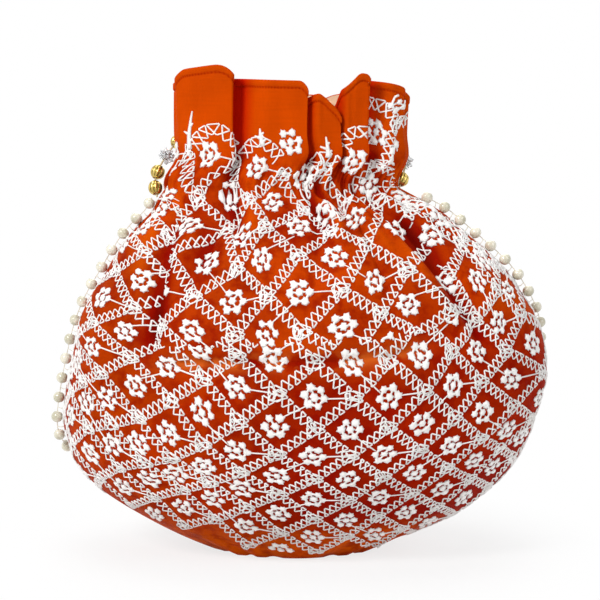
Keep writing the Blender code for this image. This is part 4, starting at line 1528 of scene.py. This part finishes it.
def add_flower(work, lattice, c, r):
    """A flower, and the thread that jumps from it to a knot or to the next flower."""
    places, frame = lattice.places, lattice.frames[c, r]
    place = places[c, r]
    petals = work.flower(place, frame, int(rng.integers(0, PETALS)))
    if c % 2 == 0 and (c + 1, r) in places:
        work.thread([petals[0], mix(places[c + 1, r], place, 0.10)])
    elif c % 4 == 3 and (c + 1, r - 1) in places and r > FIRST_ROW + 1:
        end = places[c + 1, r - 1] + frame @ np.array([-0.003, -0.0045])
        work.thread([petals[1], end], THREAD_WIDTH * JUMP_WIDTH)
    elif c % 4 == 1 and (c + 1, r + 1) in places:
        end = places[c + 1, r + 1] + frame @ np.array([-0.0045, 0.002])
        work.thread([petals[5], end], THREAD_WIDTH * JUMP_WIDTH)


def add_bands(work, lattice, c, r):
    """The bands that lead right and down, and right and up, from a knot, stitched leftwards."""
    knot = (c, r)
    for down in (1, -1):
        other = (c + 1, r + down)
        if other not in lattice.places or not (lattice.on_panel[knot] or lattice.on_panel[other]):
            continue
        if work.upper and r + down < highest_knot(work.chart.panel, c + 1):
            continue
        frame = (lattice.frames[knot] + lattice.frames[other]) / 2
        work.band([lattice.places[other], lattice.places[knot]], frame, -down)


def add_front_border(work):
    """Arcs over the front's top flowers, and thorns, where the photograph shows them."""
    chart = work.chart
    for shown in FRONT_ARCS:
        route = smooth_route(chart.nearest_flat(np.array(shown, float)), ARC_POINTS)[::-1]
        work.band(route, chart.frames(route[len(route) // 2]), -1.0, 0.0)
    for shown in FRONT_THORNS:
        foot, tip = chart.nearest_flat(np.array(shown, float))
        work.thorn(foot, tip, chart.frames(foot))


def add_back_border(work, lattice):
    """Arcs over the back's top flowers, and thorns between them."""
    t = np.linspace(0.0, 1.0, ARC_POINTS)
    rise = np.stack([0 * t, ARC_RISE * np.sin(np.pi * t) ** 0.6], -1)
    for c in range(-FARTHEST_COLUMN + 1, FARTHEST_COLUMN, 2):
        if not lattice.on_panel[c, FIRST_ROW]:
            continue
        a, b = lattice.places[c - 1, FIRST_ROW], lattice.places[c + 1, FIRST_ROW]
        frame = lattice.frames[c, FIRST_ROW]
        arc = mix(a, b, t[:, None]) + rise @ frame.T
        work.band(arc[::-1], frame, -1.0, ARC_MARGIN)
        foot, tip = (0.0, BACK_THORN[0]), (rng.normal(0.0, 0.001), BACK_THORN[1])
        work.thorn(a + frame @ np.array(foot), a + frame @ np.array(tip), frame)


def make_front_embroidery(name, material):
    """The front's lattice in two parts, which the tuck and the folds beside it part."""
    chart = Chart(FRONT)
    made = []
    for part, (rows, upper, fit, step) in FRONT_PARTS.items():
        places = {(c, r): place for r, row in rows.items() for c, place in row.items()}
        flat = chart.nearest_flat(np.array(list(places.values()), float))
        work = Embroidery(chart, upper, not upper, step)
        embroider(work, Lattice(chart, lattice_fit(list(places), flat, *fit)))
        if upper:
            add_front_border(work)
        made.append(work.build(f"{name}_{part}", material))
    return made


def make_back_embroidery(name, material):
    chart = Chart(BACK)
    lattice = Lattice(chart, even_lattice(chart))
    work = Embroidery(chart, True, True, THREAD_STEP)
    embroider(work, lattice)
    add_back_border(work, lattice)
    return work.build(name, material)


class Graph:
    """A new material's node graph."""

    def __init__(self, name):
        self.material = bpy.data.materials.new(name)
        self.material.use_nodes = True
        self.nodes = self.material.node_tree.nodes
        self.links = self.material.node_tree.links
        self.shader = self.nodes["Principled BSDF"]

    def add(self, kind, inputs=(), **settings):
        """Adds a node. Each input is a value, or another node's output, to set or link."""
        node = self.nodes.new(kind)
        for setting, value in settings.items():
            setattr(node, setting, value)
        for socket, value in dict(inputs).items():
            self.set(node, socket, value)
        return node

    def set(self, node, socket, value):
        port = node.inputs[socket]
        if isinstance(value, bpy.types.NodeSocket):
            self.links.new(value, port)
        else:
            port.default_value = (*value, 1.0) if port.type == "RGBA" else value

    def share(self, value, start, end, most=1.0):
        """Rises from 0 to the most given while a value goes from start to end."""
        ports = {"Value": value, "From Min": start, "From Max": end, "To Max": most}
        return self.add("ShaderNodeMapRange", ports).outputs[0]

    def value(self, operation, a, b=0.0, c=0.0):
        return self.add("ShaderNodeMath", {0: a, 1: b, 2: c}, operation=operation).outputs[0]

    def attribute(self, name):
        return self.add("ShaderNodeAttribute", attribute_name=name).outputs["Fac"]

    def place(self):
        return self.add("ShaderNodeTexCoord").outputs["Object"]

    def place_parts(self):
        return self.add("ShaderNodeSeparateXYZ", {"Vector": self.place()}).outputs

    def noise(self, scale, detail=3.0, vector=None):
        vector = self.place() if vector is None else vector
        made = {"Vector": vector, "Scale": scale, "Detail": detail}
        return self.add("ShaderNodeTexNoise", made).outputs["Fac"]

    def blend(self, share, a, b, kind="MIX"):
        ports = {0: share, 6: a, 7: b}
        return self.add("ShaderNodeMix", ports, data_type="RGBA", blend_type=kind).outputs[2]

    def ramp(self, value, *stops):
        """Colour or grey that goes through (place, colour or grey) stops."""
        made = self.add("ShaderNodeValToRGB", {"Fac": value})
        elements = made.color_ramp.elements
        while len(elements) < len(stops):
            elements.new(0.5)
        for element, (place, colour) in zip(elements, stops):
            element.position = place
            element.color = (*np.broadcast_to(colour, 3), 1.0)
        return made.outputs["Color"]

    def bump(self, height, distance, strength=1.0, normal=None):
        made = {"Height": height, "Distance": distance, "Strength": strength}
        if normal is not None:
            made["Normal"] = normal
        return self.add("ShaderNodeBump", made).outputs["Normal"]

    def finish(self, **inputs):
        for socket, value in inputs.items():
            self.set(self.shader, socket.replace("_", " "), value)
        return self.material


def weave(graph, warp, weft, pitch):
    """Height of a plain weave whose threads are a pitch apart."""
    turn = 2 * np.pi / pitch
    a = graph.value("SINE", graph.value("MULTIPLY", warp, turn))
    b = graph.value("SINE", graph.value("MULTIPLY", weft, turn))
    return graph.value("MULTIPLY", a, b)


def silk_ground(graph, slub, fold, frill):
    """Colour away from creases: painted light, shade and shade patches, ridge highlights, clouds,
    slubs.
    """
    place = graph.place_parts()
    level = graph.share(place[2], 0.0, HEM_TOP)
    # The cloth's own red-orange, painted lighter and darker by side and height as painted light and
    # shade
    left, right = graph.ramp(level, *LEFT_SHADING_COLOURS), graph.ramp(level, *RIGHT_SHADING_COLOURS)
    body = graph.blend(graph.share(place[0], -0.075, 0.005), left, right)
    # Painted shade in random patches, for the puckers round the threads
    mottled_shade = graph.ramp(graph.noise(150.0), (0.44, 0.0), (0.64, 0.6))
    body = graph.blend(mottled_shade, body, MOTTLED_SHADE_COLOUR)
    # Painted highlights where the cloth stands out on ridges of folds and ripples
    ridge = graph.ramp(level, *RIDGE_HIGHLIGHT_COLOURS)
    body = graph.blend(graph.share(fold, -0.06, -0.45, 0.8), body, ridge)
    # Lighter in the frill: partly the cloth's own colour, partly painted light
    colour = graph.blend(frill, body, FRILL_COLOUR)
    cloud = graph.ramp(graph.noise(30.0), (0.30, 0.86), (0.70, 1.12))
    colour = graph.blend(1.0, colour, cloud, "MULTIPLY")
    streak = graph.ramp(slub, (0.32, 0.92), (0.52, 1.0), (0.74, 1.05))
    return graph.blend(0.5, colour, streak, "MULTIPLY")


def silk_worn(graph, colour, warp, fold, frill):
    """Silk colour with painted shade in its creases, lighter tuck patches and the hem's line of
    stitches.
    """
    # Painted shade in the creases and folds, by how deep the painted fold is
    crease = graph.blend(frill, CREASE_SHADE_COLOUR, FRILL_CREASE_SHADE_COLOUR)
    deepest = graph.blend(frill, DEEPEST_SHADE_COLOUR, FRILL_DEEPEST_SHADE_COLOUR)
    colour = graph.blend(graph.share(fold, 0.12, 0.80, 0.9), colour, crease)
    colour = graph.blend(graph.share(fold, 0.95, 1.7, 0.85), colour, deepest)
    # Lighter orange in patches along the tuck
    patches = graph.ramp(graph.noise(75.0), (0.44, 0.0), (0.54, 1.0))
    tuck_patches = graph.value("MULTIPLY", graph.attribute("rub"), patches)
    colour = graph.blend(tuck_patches, colour, TUCK_PATCH_COLOUR)
    dash = graph.value("SINE", graph.value("MULTIPLY", warp, 2 * np.pi / STITCH_LENGTH))
    dash = graph.ramp(dash, (0.0, 0.35), (0.6, 1.0))
    stitch = graph.value("MULTIPLY", graph.attribute("stitch"), dash)
    return graph.blend(stitch, colour, STITCH_COLOUR)


def silk(name):
    """Dupion-like silk: slubs along the weft, a fine weave, and painted shade in the creases."""
    graph = Graph(name)
    warp, weft = graph.attribute("warp"), graph.attribute("weft")
    fold, frill = graph.attribute("fold"), graph.attribute("frill")
    flat = graph.add("ShaderNodeCombineXYZ", {"X": warp, "Y": weft}).outputs[0]
    drawn_out = {"Vector": flat, "Scale": (38.0, 900.0, 1.0)}
    slub = graph.noise(1.0, 4.0, graph.add("ShaderNodeMapping", drawn_out).outputs[0])
    colour = silk_ground(graph, slub, fold, frill)
    normal = graph.bump(graph.noise(420.0), 0.00022, 0.55)
    normal = graph.bump(slub, 0.00016, 0.35, normal)
    normal = graph.bump(weave(graph, warp, weft, SILK_PITCH), 0.00004, 0.5, normal)
    return graph.finish(
        Base_Color=silk_worn(graph, colour, warp, fold, frill),
        Roughness=graph.ramp(slub, (0.3, 0.52), (0.7, 0.42)),
        Normal=normal,
        Specular_IOR_Level=0.01,
        Sheen_Weight=0.01,
        Sheen_Roughness=0.4,
        Sheen_Tint=(1.0, 0.25, 0.01),
    )


def thread(name, light, dark):
    """Spun thread: fine twist, and a little unevenness in its colour."""
    graph = Graph(name)
    return graph.finish(
        Base_Color=graph.ramp(graph.noise(140.0), (0.34, dark), (0.62, light)),
        Roughness=0.5,
        Normal=graph.bump(graph.noise(2600.0, 2.0), 0.00010, 0.6),
        Sheen_Weight=0.25,
        Sheen_Roughness=0.35,
        Specular_IOR_Level=0.4,
    )


def plain_weave(name, light, dark, pitch):
    """Matt lining cloth with a weave that shows."""
    graph = Graph(name)
    place = graph.place_parts()
    height = weave(graph, graph.value("ADD", place[0], place[1]), place[2], pitch)
    uneven = graph.bump(graph.noise(300.0), 0.0002, 0.4)
    return graph.finish(
        Base_Color=graph.ramp(graph.noise(60.0, 4.0), (0.3, dark), (0.7, light)),
        Roughness=0.75,
        Normal=graph.bump(height, 0.00008, 0.5, uneven),
        Sheen_Weight=0.2,
        Specular_IOR_Level=0.2,
    )


def pearl_material(name):
    """Nacre: cloudy cream and olive under a clear coat."""
    graph = Graph(name)
    nacre = graph.ramp(graph.noise(160.0, 2.0), (0.40, (0.58, 0.55, 0.40)), (0.60, (0.84, 0.80, 0.66)))
    cloud = graph.ramp(graph.noise(500.0, 2.0), (0.35, 0.93), (0.65, 1.0))
    return graph.finish(
        Base_Color=graph.blend(1.0, nacre, cloud, "MULTIPLY"),
        Roughness=0.22,
        Coat_Weight=0.7,
        Coat_Roughness=0.05,
        Specular_IOR_Level=0.6,
        Normal=graph.bump(graph.noise(900.0, 2.0), 0.00004, 0.3),
    )


def gold_material(name, dark, light):
    """Gilt metal, a little cloudy."""
    graph = Graph(name)
    cloud = graph.noise(420.0)
    return graph.finish(
        Base_Color=graph.ramp(cloud, (0.32, dark), (0.64, light)),
        Metallic=1.0,
        Roughness=graph.ramp(cloud, (0.3, 0.30), (0.7, 0.16)),
        Normal=graph.bump(graph.noise(1500.0, 2.0), 0.00005, 0.35),
    )


def crystal_material(name):
    """Clear cut glass, a little cloudy."""
    graph = Graph(name)
    cloud = graph.noise(300.0, 2.0)
    return graph.finish(
        Base_Color=graph.ramp(cloud, (0.3, (0.90, 0.92, 0.93)), (0.7, (0.98, 0.99, 1.00))),
        Roughness=graph.ramp(cloud, (0.3, 0.10), (0.7, 0.02)),
        Transmission_Weight=0.72,
        IOR=1.50,
        Specular_IOR_Level=0.6,
        Normal=graph.bump(graph.noise(800.0, 2.0), 0.00005, 0.25),
    )


def make_materials():
    return {
        "cloth": silk("silk_cloth"),
        "embroidery": thread("white_thread", (0.95, 0.945, 0.93), (0.87, 0.85, 0.82)),
        "lining": plain_weave("lining_cloth", (0.86, 0.62, 0.44), (0.72, 0.47, 0.30), LINING_PITCH),
        "drawstring": thread("drawstring_thread", (0.74, 0.14, 0.01), (0.55, 0.05, 0.0)),
        "pearl": pearl_material("pearl_nacre"),
        "pearl_thread": thread("pearl_thread", (0.90, 0.86, 0.74), (0.70, 0.62, 0.46)),
        "handle_cord": thread("handle_thread", (0.75, 0.66, 0.42), (0.55, 0.45, 0.25)),
        "gold": gold_material("gilt_metal", (0.52, 0.36, 0.09), (0.84, 0.64, 0.22)),
        # A darker copy of the gilt for the flutes' floors: painted shade
        "gold_flute_shade": gold_material("gilt_flute_shade", (0.10, 0.07, 0.01), (0.26, 0.19, 0.03)),
        "crystal": crystal_material("cut_glass"),
    }


def seen_straight(nodes, links):
    """One where the camera looks, also in a mirror or through glass, and nought for other light."""
    path = nodes.new("ShaderNodeLightPath")
    seen = path.outputs["Is Camera Ray"]
    for other in ("Is Glossy Ray", "Is Transmission Ray"):
        both = nodes.new("ShaderNodeMath")
        both.operation = "MAXIMUM"
        links.new(seen, both.inputs[0])
        links.new(path.outputs[other], both.inputs[1])
        seen = both.outputs[0]
    return seen


def floor_material(name):
    """Paper that is lit near the bag and plain white further off."""
    graph = Graph(name)
    far = graph.add("ShaderNodeVectorMath", {0: graph.place()}, operation="LENGTH").outputs["Value"]
    start, end = FLOOR_FADE
    fade = {"Value": far, "From Min": start, "From Max": end, "To Min": FLOOR_WHITE_NEAR}
    far = graph.add("ShaderNodeMapRange", fade, interpolation_type="SMOOTHSTEP").outputs[0]
    far = graph.value("MULTIPLY", far, seen_straight(graph.nodes, graph.links))
    graph.finish(
        Base_Color=graph.ramp(graph.noise(3.0, 2.0), (0.3, 0.80), (0.7, 0.82)),
        Roughness=0.9,
        Specular_IOR_Level=0.1,
        Emission_Color=(1.0, 1.0, 1.0),
        Emission_Strength=0.08,
    )
    white = graph.add("ShaderNodeEmission", {"Color": (1.0, 1.0, 1.0), "Strength": 1.0}).outputs[0]
    lit = graph.shader.outputs[0]
    both = graph.add("ShaderNodeMixShader", {0: far, 1: lit, 2: white}).outputs[0]
    graph.links.new(both, graph.nodes["Material Output"].inputs["Surface"])
    return graph.material


def make_floor():
    """White floor that takes the bag's soft shadow and goes over into the white backdrop."""
    mesh = bpy.data.meshes.new("floor")
    corners = [(x * FLOOR_REACH, y * FLOOR_REACH, 0) for x, y in ((-1, -1), (1, -1), (1, 1), (-1, 1))]
    mesh.from_pydata(corners, [], [(0, 1, 2, 3)])
    mesh.materials.append(floor_material("floor_paper"))
    floor = link("floor", mesh)
    floor.location.z = FLOOR_LEVEL


def make_world():
    """White behind the bag, and an even, softer light from all round."""
    world = bpy.data.worlds.new("studio")
    bpy.context.scene.world = world
    world.use_nodes = True
    nodes, links = world.node_tree.nodes, world.node_tree.links
    background = nodes["Background"]
    background.inputs["Color"].default_value = (1.0, 1.0, 1.0, 1.0)
    strength = nodes.new("ShaderNodeMapRange")
    strength.inputs["To Min"].default_value = WORLD_LIGHT
    strength.inputs["To Max"].default_value = 1.0
    links.new(seen_straight(nodes, links), strength.inputs["Value"])
    links.new(strength.outputs[0], background.inputs["Strength"])


def make_lamps():
    for name, place, size, power in LAMPS:
        lamp = bpy.data.lights.new(name, "AREA")
        lamp.size = size
        lamp.energy = power
        added = link(name, lamp)
        added.location = place
        aim = Vector(LAMP_TARGET) - Vector(place)
        added.rotation_euler = aim.to_track_quat("-Z", "Y").to_euler()


def make_camera():
    lens = bpy.data.cameras.new("camera")
    lens.angle = 2.0 * np.arctan(VIEW_WIDTH / 2 / CAMERA_DISTANCE)
    camera = link("camera", lens)
    back = Vector((0.0, -np.cos(CAMERA_RISE), np.sin(CAMERA_RISE)))
    camera.location = Vector(CAMERA_TARGET) + back * CAMERA_DISTANCE
    camera.rotation_euler = back.to_track_quat("Z", "Y").to_euler()
    bpy.context.scene.camera = camera


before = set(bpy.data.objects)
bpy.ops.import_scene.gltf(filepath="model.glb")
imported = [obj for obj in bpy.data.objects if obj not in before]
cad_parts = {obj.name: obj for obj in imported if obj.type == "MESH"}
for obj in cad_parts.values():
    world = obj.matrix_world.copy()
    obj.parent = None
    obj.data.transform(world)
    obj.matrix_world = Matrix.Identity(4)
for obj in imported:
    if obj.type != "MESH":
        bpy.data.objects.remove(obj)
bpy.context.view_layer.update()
bpy.context.scene.view_settings.view_transform = "Standard"
materials = make_materials()
make_floor()
make_world()
make_lamps()
make_camera()
make_handle(materials)

silk_look, lining_look = [materials["cloth"]], [materials["lining"]]
front = stand_for(make_cloth("cloth_front", FRONT, silk_look), "cloth", "front_panel")
back = stand_for(make_cloth("cloth_back", BACK, silk_look), "cloth", "back_panel")
front_lining = make_lining("lining_cloth_front", FRONT, lining_look)
back_lining = make_lining("lining_cloth_back", BACK, lining_look)
stand_for(front_lining, "lining", "lining_front")
stand_for(back_lining, "lining", "lining_back")
stand_for(make_drawstring(materials["drawstring"]), "drawstring", "drawstring")
pearl_look = [materials["pearl"], materials["pearl_thread"]]
stand_for(make_pearls("pearls_left", 0.0, pearl_look), "pearl", "pearl_trim_left")
stand_for(make_pearls("pearls_right", 1.0, pearl_look), "pearl", "pearl_trim_right")
front_work = make_front_embroidery("embroidery_front", materials["embroidery"])
back_work = make_back_embroidery("embroidery_back", materials["embroidery"])
for work in (*front_work, back_work):
    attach(work, "root")
